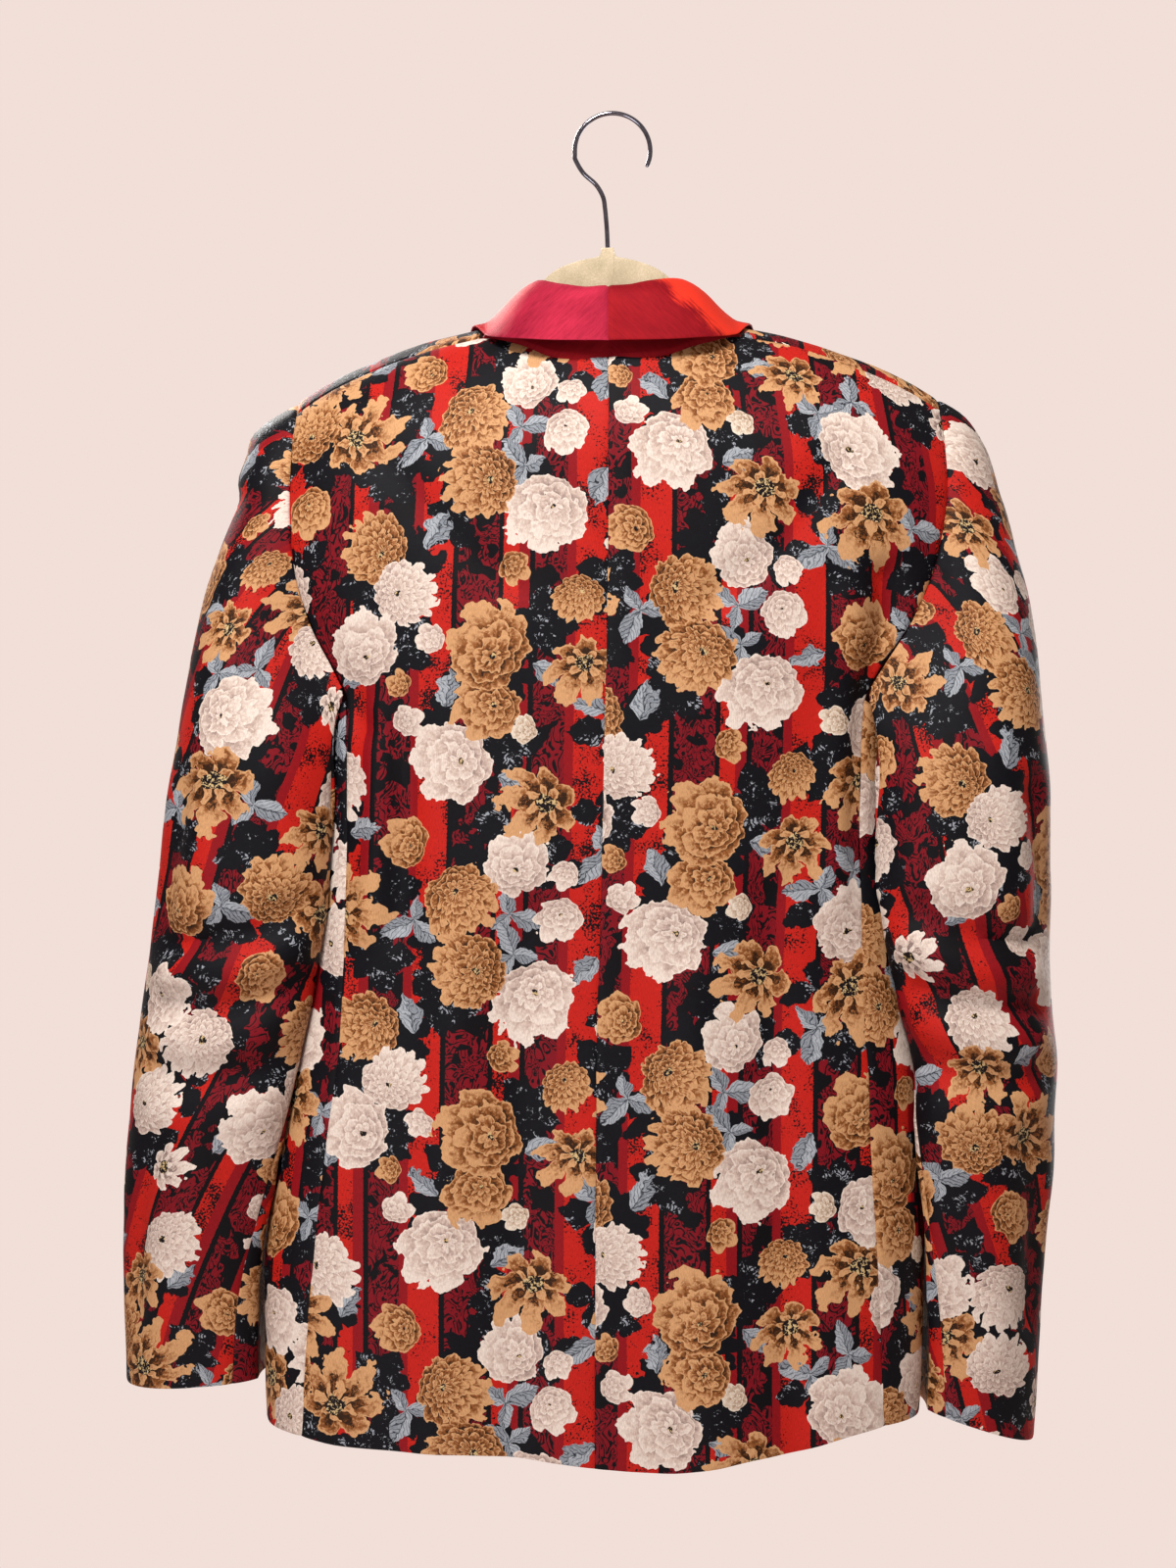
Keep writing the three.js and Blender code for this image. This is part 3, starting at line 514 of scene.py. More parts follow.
def collar_point(u, v, side):
    fold, fall = fold_point(v, side), curve(FALL, v)
    p = fold.lerp(fall, u)
    behind = 1 - smoothstep(v, 0.1, 0.26)
    bow = FALL_BULGE * math.sin(math.pi * clamp(u) ** 0.6) * behind
    p += Vector((fold.x, fold.y + 12, 30)).normalized() * bow
    p.z -= TIP_REST * smoothstep(v, 0.1, 0.18) * (1 - smoothstep(v, 0.28, 0.36)) * u * u
    lie = smoothstep(v, 0.34, 0.5)
    q = push_out(Vector((abs(p.x), p.y, p.z)), LAPEL_OFF, lie)
    if p.x < 0:
        q.x = p.x
    if side < 0 and q.y < 0:
        q.y += underlap(q.x, q.z)
    return q


def stand_point(u, v, side):
    fold = fold_point(v * STAND_END, side)
    share = 0.55  # of the neck seam, along the back
    if v < share:
        seam = back_point(v / share * NECK_X / SHOULDER_X, 1)
    else:
        seam = front_point(1, lerp(1, 0.925, (v - share) / (1 - share)))
    away = Vector((seam.x, seam.y + 30, 0)).normalized()
    low = seam + away * -2.5 + Vector((0, 0, -4.0))
    high = fold + away * -2.8 + Vector((0, 0, -1.9))
    return low.lerp(high, u)


# ---- folds -----------------------------------------------------------------
# Ridges (+) and troughs (-) of the back as the cloth hangs: height, half width, line in X and Z.
BACK_FOLDS = [
    (-9.5, 13, [(-184, -326), (-188, -362), (-177, -401), (-171, -459), (-172, -520)]),
    (5.0, 12, [(-158, -340), (-154, -400), (-150, -470), (-150, -540)]),
    (-8.0, 11, [(214, -352), (196, -384), (176, -410), (168, -425)]),
    (5.5, 10, [(160, -418), (157, -455), (158, -500), (163, -560)]),
    (-6.0, 11, [(141, -430), (138, -480), (143, -560)]),
    (4.6, 18, [(104, -560), (112, -700), (120, -905)]),
    (-5.2, 18, [(58, -560), (62, -740), (66, -915)]),
    (4.8, 18, [(-52, -600), (-60, -780), (-66, -915)]),
    (-5.8, 17, [(-104, -540), (-112, -720), (-120, -910)]),
    (-4.4, 13, [(150, -250), (110, -300), (70, -330)]),
    (-4.4, 13, [(-150, -250), (-112, -305), (-66, -340)]),
    (2.6, 16, [(0, -230), (2, -300), (2, -380)]),
]
# The same for a sleeve, where X is the way round it from the middle of its back.
SLEEVE_FOLDS = [
    (-7.5, 9, [(-62, -548), (-24, -566), (26, -570)]),
    (5.5, 8, [(-66, -572), (-22, -590), (30, -592)]),
    (-7.0, 9, [(-64, -600), (-20, -614), (34, -612)]),
    (4.0, 8, [(-62, -626), (-14, -638), (30, -634)]),
    (-6.0, 10, [(-58, -654), (-14, -664), (28, -656)]),
    (3.2, 11, [(-60, -684), (-20, -692), (16, -690)]),
    (-5.6, 12, [(20, -470), (36, -520), (40, -560)]),
    (3.4, 12, [(-8, -440), (2, -490), (0, -540)]),
    (-5.4, 13, [(10, -700), (18, -760), (14, -830)]),
    (3.0, 14, [(-24, -720), (-20, -790), (-22, -860)]),
]


def crease(folds, x, z):
    rise = 0.0
    for height, width, line in folds:
        best = 1e9
        for (ax, az), (bx, bz) in zip(line, line[1:]):
            dx, dz = bx - ax, bz - az
            t = clamp(((x - ax) * dx + (z - az) * dz) / (dx * dx + dz * dz))
            best = min(best, (x - ax - t * dx) ** 2 + (z - az - t * dz) ** 2)
        if best < 9 * width * width:
            rise += height * math.exp(-best / (width * width))
    return rise


def soft(p, seed):
    """Slow, seeded unevenness of hanging cloth."""
    q = Vector((p.x / 62 + seed, p.y / 62, p.z / 95))
    r = Vector((p.x / 21, p.y / 21 + seed, p.z / 30))
    return 1.5 * noise.noise(q) + 0.45 * noise.noise(r)


# ---- meshes ----------------------------------------------------------------
def spread(length, cell):
    """Shares from 0 to 1 about `cell` apart, closer together beside the two edges."""
    n = max(3, round(length / cell))
    inner = [k / n for k in range(1, n)]
    near = [1.2 / length, 3.2 / length]
    return sorted({0.0, 1.0, *near, *(1 - k for k in near), *inner})


def unit(v):
    return v / np.maximum(np.linalg.norm(v, axis=-1, keepdims=True), 1e-12)


def steps(points, axis):
    """Lengths from each point to the next along an axis of the grid."""
    return np.linalg.norm(np.diff(points, axis=axis), axis=2)


def normals(points, turn):
    du, dv = (unit(np.gradient(points, axis=axis)) for axis in (1, 0))
    return unit(np.cross(du, dv)) * turn


def new_object(name, mesh, materials, sharp):
    mesh.polygons.foreach_set("use_smooth", [True] * len(mesh.polygons))
    mesh.set_sharp_from_angle(angle=math.radians(sharp))
    o = bpy.data.objects.new(name, mesh)
    scene.collection.objects.link(o)
    for m in materials:
        mesh.materials.append(m)
    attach(o, "root")
    return o


def panel(name, node, point, size, cell, turn, thick, relief, ref, origin, roll, materials,
          tilt=0.0, downward=False):
    """A closed wall of cloth about a surface, cut from flat cloth.

    size is the surface's rough width and length, roll says which of its edges (low u, high u,
    low v, high v) turn in at a seam, and ref is the column along which the cut is measured, from
    its lowest row or, for a sleeve, from the end of the sleeve's head.
    """
    us, vs = spread(size[0], cell), spread(size[1], cell)
    rows, cols = len(vs), len(us)
    mid = np.array([[point(u, v) for u in us] for v in vs])
    n = normals(mid, turn)
    # flat cut: across from the reference column, and up along each column
    across = np.zeros((rows, cols))
    across[:, 1:] = np.cumsum(steps(mid, 1), axis=1)
    j0 = int(np.argmin([abs(u - ref) for u in us]))
    across -= across[:, j0 : j0 + 1]
    along = np.zeros((rows, cols))
    along[1:] = np.cumsum(steps(mid, 0), axis=0)
    if downward:
        i0 = int(np.argmin([abs(v - HEAD_SHARE) for v in vs]))
        along, across = along[i0 : i0 + 1, :] - along, -across
    else:
        along += mid[0:1, :, 2] - mid[0:1, j0 : j0 + 1, 2]
    cx, cy = across * turn, along
    ct, st = math.cos(tilt), math.sin(tilt)
    cut = np.stack([cx * ct - cy * st, cx * st + cy * ct], axis=2) * MM
    # folds, and the dip of the cloth into its seams
    rise = np.array([
        [relief(Vector(mid[i, j]), us[j], vs[i], across[i, j]) for j in range(cols)]
        for i in range(rows)
    ])
    wide, long = steps(mid, 1).sum(1)[:, None], steps(mid, 0).sum(0)[None, :]
    u, v = np.array(us)[None, :], np.array(vs)[:, None]
    for edge, d in zip(roll, (u * wide, (1 - u) * wide, v * long, (1 - v) * long)):
        rise -= edge * SEAM_DIP * np.exp(-((d / 2.0) ** 2))
        if edge:
            rise *= 1 - 0.75 * np.exp(-((d / 9.0) ** 2)) * (np.abs(rise) > 1.2)
    mid = mid + n * rise[..., None]
    n = normals(mid, turn)
    half = np.full((rows, cols), thick / 2)
    half[0], half[-1], half[:, 0], half[:, -1] = (thick * 0.3,) * 4
    mid[0] += unit(mid[1] - mid[0]) * SEAM_IN
    mid[-1] += unit(mid[-2] - mid[-1]) * SEAM_IN
    mid[:, 0] += unit(mid[:, 1] - mid[:, 0]) * SEAM_IN
    mid[:, -1] += unit(mid[:, -2] - mid[:, -1]) * SEAM_IN
    # two faces and a rim
    outer, inner = mid + n * half[..., None], mid - n * half[..., None]
    verts = np.concatenate([outer.reshape(-1, 3), inner.reshape(-1, 3)]) * MM
    count = rows * cols
    idx = np.arange(count).reshape(rows, cols)
    a, b, c, d = idx[:-1, :-1], idx[:-1, 1:], idx[1:, 1:], idx[1:, :-1]
    out = np.stack([a, b, c, d], -1).reshape(-1, 4)
    ins = np.stack([a, d, c, b], -1).reshape(-1, 4) + count
    rim = []
    for line, flip in ((idx[0], 0), (idx[-1], 1), (idx[:, 0], 1), (idx[:, -1], 0)):
        p, q = line[:-1], line[1:]
        quad = [p, q, q + count, p + count] if flip else [p, p + count, q + count, q]
        rim.append(np.stack(quad, -1))
    faces = np.concatenate([out, *rim, ins])
    if turn < 0:
        faces = faces[:, ::-1]
    mesh = bpy.data.meshes.new(name)
    mesh.from_pydata(verts.tolist(), [], faces.tolist())
    mesh.update()
    flat = np.concatenate([cut.reshape(-1, 2)] * 2) + np.array(origin)
    layer = mesh.uv_layers.new(name="cut")
    layer.data.foreach_set("uv", flat[faces.reshape(-1)].astype(np.float32).ravel())
    o = new_object(name, mesh, materials, 55)
    if len(materials) > 1:
        kinds = np.zeros(len(faces), np.int32)
        kinds[-len(ins):] = 1
        mesh.polygons.foreach_set("material_index", kinds)
    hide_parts(node)
    m = mid.reshape(-1, 3)
    area = sum(
        float(np.linalg.norm(np.cross(m[q] - m[p], m[r] - m[p]), axis=-1).sum()) / 2 * MM * MM
        for p, q, r in ((a, b, c), (a, c, d))
    )
    span = (float(np.ptp(across)) * MM, float(np.ptp(along)) * MM)
    return o, faces, flat, span, area


# ---- the print -------------------------------------------------------------
# A generic repeat of blooms and leaves, from the top one down: kind, tint, x, y, radius, turn.
REPEAT = (312.0, 325.0)
KINDS = ["dahlia", "rose", "anemone", "bud", "leaf", "spray", "foliage", "shadow"]
TINTS = ["cream", "tan", "grey", "navy", "warm"]
MOTIFS = """
dahlia tan 115 56 27 40; anemone tan 162 47 33 330; rose tan 51 29 27 40; dahlia tan 244 7 28 130;
anemone tan 50 103 33 210; anemone tan 133 93 26 220; dahlia cream 87 220 26 310;
rose cream 168 225 28 70; rose tan 253 223 31 80; dahlia tan 239 50 27 250;
rose cream 61 285 25 270; anemone tan 49 242 31 170; rose tan 252 180 24 160;
dahlia cream 101 265 27 150; anemone tan 286 116 30 150; dahlia cream 198 259 24 320;
dahlia cream 149 128 26 250; dahlia tan 174 292 26 110; rose cream 228 144 30 150;
rose cream 276 79 24 50; rose cream 49 155 31 330; rose cream 289 308 30 180;
anemone tan 3 203 26 190; rose tan 124 319 19 240; anemone cream 126 182 19 300;
rose tan 199 92 18 100; dahlia tan 312 252 18 200; rose cream 304 38 17 210;
bud cream 201 172 12 320; bud tan 193 198 10 90; bud cream 214 229 11 120; bud warm 27 290 11 100;
bud cream 307 68 11 190; bud tan 270 273 12 260; bud warm 278 166 10 120; leaf grey 150 198 26 30;
spray grey 207 38 25 200; spray grey 22 85 27 210; leaf grey 227 181 26 90;
spray grey 275 16 24 110; leaf grey 210 289 28 60; spray grey 83 104 25 0; spray grey 21 178 25 140;
spray grey 48 190 25 90; spray grey 83 33 24 0; leaf grey 160 98 24 10; leaf grey 20 14 27 200;
spray grey 272 43 25 340; leaf grey 262 135 26 340; leaf grey 284 209 25 330;
foliage navy 94 74 29 130; foliage navy 241 197 27 240; foliage navy 98 188 31 280;
foliage navy 264 156 30 290; spray navy 303 74 28 340; foliage navy 24 263 31 130;
spray navy 120 283 28 40; foliage navy 289 234 31 10; foliage navy 191 57 27 20;
foliage navy 39 304 29 130; spray navy 137 33 32 200; foliage navy 174 260 29 80;
foliage navy 227 310 28 230; foliage navy 194 219 28 340; foliage navy 266 109 28 200;
spray navy 21 165 30 160; foliage navy 36 76 29 240; spray navy 109 235 31 30;
foliage navy 181 14 30 290; foliage navy 85 23 31 350; spray navy 19 112 26 160;
spray navy 86 300 30 30; shadow navy 273 8 23 80; shadow navy 226 27 25 160;
shadow navy 248 77 20 120; shadow navy 267 102 21 60; shadow navy 136 36 26 100;
shadow navy 138 68 24 300; shadow navy 155 104 21 260; shadow navy 74 262 23 340;
shadow navy 40 268 24 330; shadow navy 75 244 25 110; shadow navy 267 201 20 210;
shadow navy 228 170 23 80; shadow navy 194 232 22 290; shadow navy 198 285 26 250;
shadow navy 65 129 20 320
"""
LAYERS = ["top", "second", "third", "fourth", "fifth"]


def lay_print(mesh, faces, flat):
    """Writes, for each face, the places inside the topmost motifs that cross it.

    A place runs from -1 to 1 inside its motif, and tens are added for the kind and the tint.
    """
    px, py = REPEAT[0] * MM, REPEAT[1] * MM
    lo, hi = flat.min(0) - 0.05, flat.max(0) + 0.05
    found = []
    for rank, row in enumerate(MOTIFS.split(";")):
        kind, tint, *numbers = row.split()
        x, y, r, turned = (int(n) for n in numbers)
        look = (KINDS.index(kind), TINTS.index(tint), rank)
        for i in range(math.floor(lo[0] / px) - 1, math.ceil(hi[0] / px) + 1):
            for j in range(math.floor(lo[1] / py) - 1, math.ceil(hi[1] / py) + 1):
                angle = math.radians(turned + 23 * ((i + j) % 3))
                found.append((x * MM + i * px, y * MM + j * py, r * MM, angle, *look))
    f = np.array(found)
    corners = flat[faces]
    centre = corners.mean(1)
    reach = np.linalg.norm(corners - centre[:, None], axis=2).max(1)
    loops = corners.reshape(-1, 2)
    face_of = np.repeat(np.arange(len(faces)), 4)
    d = np.linalg.norm(centre[:, None] - f[None, :, :2], axis=2)
    touch = d < f[None, :, 2] * 1.06 + reach[:, None]
    solid = np.where(f[:, 4] < KINDS.index("leaf"), 0.7, 0.0)
    cover = d + reach[:, None] < f[None, :, 2] * solid[None]
    never = 1e6
    order = np.where(touch, f[None, :, 6], never)
    first_cover = np.where(cover, f[None, :, 6], never).min(1)
    order = np.where(order > first_cover[:, None], never, order)
    dropped = int((np.sort(order, axis=1)[:, len(LAYERS)] < never).sum())
    ranked = np.argsort(order, axis=1, kind="stable")[:, : len(LAYERS)]
    for k, name in enumerate(LAYERS):
        pick = ranked[:, k]
        gone = (np.take_along_axis(order, pick[:, None], 1)[:, 0] == never)[face_of]
        m = f[pick][face_of]
        rel = (loops - m[:, :2]) / m[:, 2:3]
        ca, sa = np.cos(m[:, 3]), np.sin(m[:, 3])
        x = rel[:, 0] * ca + rel[:, 1] * sa
        y = -rel[:, 0] * sa + rel[:, 1] * ca
        uv = np.stack([x + 10 * m[:, 4], y + 10 * m[:, 5]], 1)
        uv[gone] = (-10.0, 0.0)
        layer = mesh.uv_layers.new(name=name)
        layer.data.foreach_set("uv", uv.astype(np.float32).ravel())
    return dropped


# ---- materials -------------------------------------------------------------
class Graph:
    """Short names for making and joining shader nodes."""

    def __init__(self, tree):
        self.tree = tree

    def node(self, kind, **values):
        n = self.tree.nodes.new("ShaderNode" + kind)
        for k, v in values.items():
            setattr(n, k, v)
        return n

    def put(self, socket, value):
        if isinstance(value, bpy.types.NodeSocket):
            self.tree.links.new(value, socket)
        elif value is not None:
            socket.default_value = value

    def math(self, op, a, b=None, c=None, clamped=False):
        n = self.node("Math", operation=op, use_clamp=clamped)
        for s, v in zip(n.inputs, (a, b, c)):
            self.put(s, v)
        return n.outputs[0]

    def add(self, a, b):
        return self.math("ADD", a, b)

    def sub(self, a, b):
        return self.math("SUBTRACT", a, b)

    def mul(self, a, b, clamped=False):
        return self.math("MULTIPLY", a, b, clamped=clamped)

    def mad(self, a, b, c, clamped=False):
        """a times b, plus c."""
        return self.math("MULTIPLY_ADD", a, b, c, clamped)

    def above(self, a, b):
        return self.math("GREATER_THAN", a, b)

    def below(self, a, b):
        return self.math("LESS_THAN", a, b)

    def choose(self, share, a, b):
        """a where share is 1, and b where it is 0."""
        return self.mad(self.sub(a, b), share, b)

    def vector(self, op, a, b=None, scale=None):
        n = self.node("VectorMath", operation=op)
        self.put(n.inputs[0], a)
        self.put(n.inputs[1], b)
        if scale is not None:
            self.put(n.inputs["Scale"], scale)
        return n.outputs[0]

    def split(self, v):
        n = self.node("SeparateXYZ")
        self.put(n.inputs[0], v)
        return n.outputs

    def mix(self, share, a, b, mode="MIX"):
        n = self.node("Mix", data_type="RGBA", blend_type=mode)
        self.put(n.inputs["Factor"], share)
        self.put(n.inputs[6], a)
        self.put(n.inputs[7], b)
        return n.outputs[2]

    def ramp(self, share, stops, mode="LINEAR"):
        n = self.node("ValToRGB")
        n.color_ramp.interpolation = mode
        e = n.color_ramp.elements
        while len(e) < len(stops):
            e.new(1.0)
        for el, (at, colour) in zip(e, stops):
            el.position = at
            el.color = (*(colour if hasattr(colour, "__len__") else (colour,) * 3), 1.0)
        self.put(n.inputs[0], share)
        return n.outputs[0]

    def noise(self, v, scale, detail=2.0, rough=0.5, distort=0.0, colour=False):
        n = self.node("TexNoise")
        self.put(n.inputs["Vector"], v)
        n.inputs["Scale"].default_value = scale
        n.inputs["Detail"].default_value = detail
        n.inputs["Roughness"].default_value = rough
        n.inputs["Distortion"].default_value = distort
        return n.outputs["Color" if colour else 0]

    def uv(self, name):
        return self.node("UVMap", uv_map=name).outputs[0]

    def bump(self, height, strength, distance):
        n = self.node("Bump")
        n.inputs["Strength"].default_value = strength
        n.inputs["Distance"].default_value = distance
        self.put(n.inputs["Height"], height)
        return n.outputs[0]


def material(name, colour_hint):
    m = bpy.data.materials.new(name)
    m.use_nodes = True
    m.diffuse_color = (*colour_hint, 1)
    shader = m.node_tree.nodes["Principled BSDF"]
    g = Graph(m.node_tree)

    def dress(values):
        for socket, value in values.items():
            g.put(shader.inputs[socket], value)
        return m

    return g, dress


def srgb(code):
    def one(c):
        c /= 255
        return c / 12.92 if c <= 0.04045 else ((c + 0.055) / 1.055) ** 2.4

    return tuple(one(int(code[i : i + 2], 16)) for i in (0, 2, 4))


def motif_group():
    """One motif from its place inside it: its colour and where it covers."""
    tree = bpy.data.node_groups.new("motif", "ShaderNodeTree")
    for name, way, kind in (
        ("Place", "INPUT", "Vector"), ("Warp", "INPUT", "Vector"), ("Grain", "INPUT", "Float"),
        ("Color", "OUTPUT", "Color"), ("Cover", "OUTPUT", "Float"),
    ):
        tree.interface.new_socket(name, in_out=way, socket_type="NodeSocket" + kind)
    g = Graph(tree)
    start, end = tree.nodes.new("NodeGroupInput"), tree.nodes.new("NodeGroupOutput")
    place, warp, grain = start.outputs[0], start.outputs[1], start.outputs[2]
    x, y, _ = g.split(place)
    kind = g.math("FLOOR", g.mad(x, 0.1, 0.5))
    tint = g.math("FLOOR", g.mad(y, 0.1, 0.5))
    wx, wy, wz = g.split(warp)
    is_bloom = g.below(kind, 3.5)
    lx = g.add(g.mad(kind, -10.0, x), wx)
    ly = g.add(g.mad(tint, -10.0, y), wy)
    # a bloom is a little oval, and its heart lies off its middle
    ly = g.mul(ly, g.mad(is_bloom, 0.10, 1.0))
    wide2 = g.add(g.mul(lx, lx), g.mul(ly, ly))
    off = g.mul(g.math("MAXIMUM", g.sub(1.0, wide2), 0.0), is_bloom)
    shine = g.mad(lx, 0.6, ly)
    lx = g.mad(off, 0.26, lx)
    ly = g.mad(off, 0.20, ly)
    # petals or leaves a turn, rings of petals, and the heart's radius, by kind
    step = g.mad(kind, 1 / 8, 1 / 16)
    rows = ((14, 5, 0.10), (6, 4, 0.07), (7, 2, 0.24), (5, 3, 0), (1, 4, 0), (3, 4, 0), (5, 4, 0),
            (6, 2, 0))
    stops = [(k / 8, (p / 20, n / 8, h)) for k, (p, n, h) in enumerate(rows)]
    facts = g.ramp(step, stops, "CONSTANT")
    petals, rings, heart = g.split(facts)
    depths = [(0, 0.62), (1 / 8, 0.50), (2 / 8, 0.80), (3 / 8, 0.55), (7 / 8, 0.9)]
    depth = g.ramp(step, depths, "CONSTANT")
    petals = g.mul(petals, 20.0)
    rings = g.mul(rings, 8.0)
    r = g.math("SQRT", g.add(g.mul(lx, lx), g.mul(ly, ly)))
    turn = g.math("DIVIDE", g.math("ARCTAN2", ly, lx), 2 * math.pi)
    rr = g.mul(g.mad(wz, 0.9, r), rings)
    tp = g.mad(wz, 2.6, g.mul(turn, petals))

    def row(shift, ahead):
        a = g.math("ABSOLUTE", g.sub(g.math("FRACT", g.add(tp, shift)), 0.5))
        a2 = g.mul(g.mul(a, a), 4.0)
        e = g.mul(g.add(g.mad(a2, depth, rr), ahead), 0.5)
        i = g.math("FLOOR", e)
        tip = g.sub(g.mad(i, 2.0, 2.0), ahead)
        return a2, g.sub(e, i), tip

    a0, f0, t0 = row(0.0, 0.0)
    a1, f1, t1 = row(0.5, 1.0)
    upper = g.below(t0, t1)

    a, f, tip = g.choose(upper, a0, a1), g.choose(upper, f0, f1), g.choose(upper, t0, t1)
    bloom = g.below(tip, g.add(rings, 0.5))
    rib = g.math("SINE", g.mul(tp, 2 * math.pi * 3))
    shade = g.mad(a, -0.30, f)
    shade = g.mad(rib, 0.10, shade)
    shade = g.mad(g.above(f, 0.90), 0.28, shade)
    shade = g.mad(g.below(f, 0.17), -0.42, shade)
    shade = g.mad(g.sub(wy, wx), 0.9, shade)
    shade = g.mad(shine, 0.22, shade)
    streak = g.mul(g.above(f, 0.45), g.above(grain, 0.56))
    shade = g.mad(streak, 0.16, shade)
    is_tan = g.math("COMPARE", tint, 1.0, 0.4)
    shade = g.mad(g.mul(g.sub(shade, 0.62), is_tan), 0.35, shade)  # tan blooms have more contrast
    # leaves grow from the middle, each along its own direction
    tl = g.mad(wz, 0.4, g.mul(turn, petals))
    which = g.math("FLOOR", g.add(tl, 0.5))
    delta = g.math("DIVIDE", g.mul(g.sub(tl, which), 2 * math.pi), petals)
    size = g.mad(g.math("SINE", g.mad(which, 4.1, tint)), 0.16, 0.84)
    lr = g.math("DIVIDE", r, size)
    t = g.mad(g.mul(lr, g.math("COSINE", delta)), 2.0, -1.0)
    v = g.mul(lr, g.math("SINE", delta))
    av = g.math("ABSOLUTE", v)
    is_navy = g.math("COMPARE", tint, 3.0, 0.4)
    broad = g.mad(is_navy, 0.10, g.mad(t, -0.05, 0.27))
    wide = g.mul(g.sub(1.0, g.mul(t, t)), broad)
    side_vein = g.math("FRACT", g.mad(av, -8.5, g.mul(t, 3.1)))
    wide = g.mad(side_vein, 0.025, wide)
    leaf = g.below(av, wide)
    mid_vein = g.below(av, 0.016)
    vein = g.math("MAXIMUM", g.below(side_vein, 0.2), mid_vein)
    half = g.above(v, 0.0)
    leaf_shade = g.mad(vein, -0.50, g.mad(half, 0.24, 0.58))
    scratch = g.above(g.mad(g.sub(wx, wy), 2.2, grain), 0.66)
    lit = g.mul(scratch, g.above(side_vein, 0.45))
    night_shade = g.mad(lit, 0.85, 0.10)
    leaf_shade = g.choose(is_navy, night_shade, leaf_shade)
    is_leaf = g.mul(g.above(kind, 3.5), g.below(kind, 6.5))
    is_shadow = g.above(kind, 6.5)
    is_open = g.math("COMPARE", kind, 2.0, 0.4)
    stroke = g.mul(g.below(f, 0.62), g.above(grain, 0.47))
    shade = g.mad(g.mul(stroke, is_open), -0.75, shade)
    shade = g.choose(is_leaf, leaf_shade, shade)
    shade = g.choose(is_shadow, 0.12, shade)
    cover = g.choose(is_leaf, leaf, bloom)
    cover = g.mul(cover, g.above(kind, -0.5))
    shade = g.mad(g.sub(grain, 0.5), 0.80, shade, clamped=True)
    # tints from dark through middle to light
    where = g.mad(tint, 1 / 5, 1 / 10)
    dark, middle, light = (
        g.ramp(where, [(k / 5, srgb(code)) for k, code in enumerate(codes.split())], "CONSTANT")
        for codes in (
            "96807A 38200F 1D212B 0A0A11 7E5C46",
            "D8BFB2 97592B 8A919B 12131C CFB39A",
            "F8E8DC DEA876 C3CAD2 A4AAB4 F3E4D2",
        )
    )
    lower = g.mul(shade, 2.0, clamped=True)
    upper_part = g.mad(shade, 2.0, -1.0, clamped=True)
    colour = g.mix(upper_part, g.mix(lower, dark, middle), light)
    in_heart = g.below(r, heart)
    specks = g.above(grain, 0.54)
    heart_colour = g.mix(specks, (*srgb("1A1216"), 1), (*srgb("E2C48E"), 1))
    colour = g.mix(in_heart, colour, heart_colour)
    g.put(end.inputs[0], colour)
    g.put(end.inputs[1], cover)
    return tree


def weave(g, cut, across, along, depth=0.35):
    """The cloth's threads, as a height."""
    x, y, _ = g.split(cut)
    warp = g.math("SINE", g.mul(x, 2 * math.pi / across))
    weft = g.math("SINE", g.mul(g.add(y, g.mul(x, 0.5)), 2 * math.pi / along))
    return g.mad(g.mul(warp, weft), depth, 0.5)


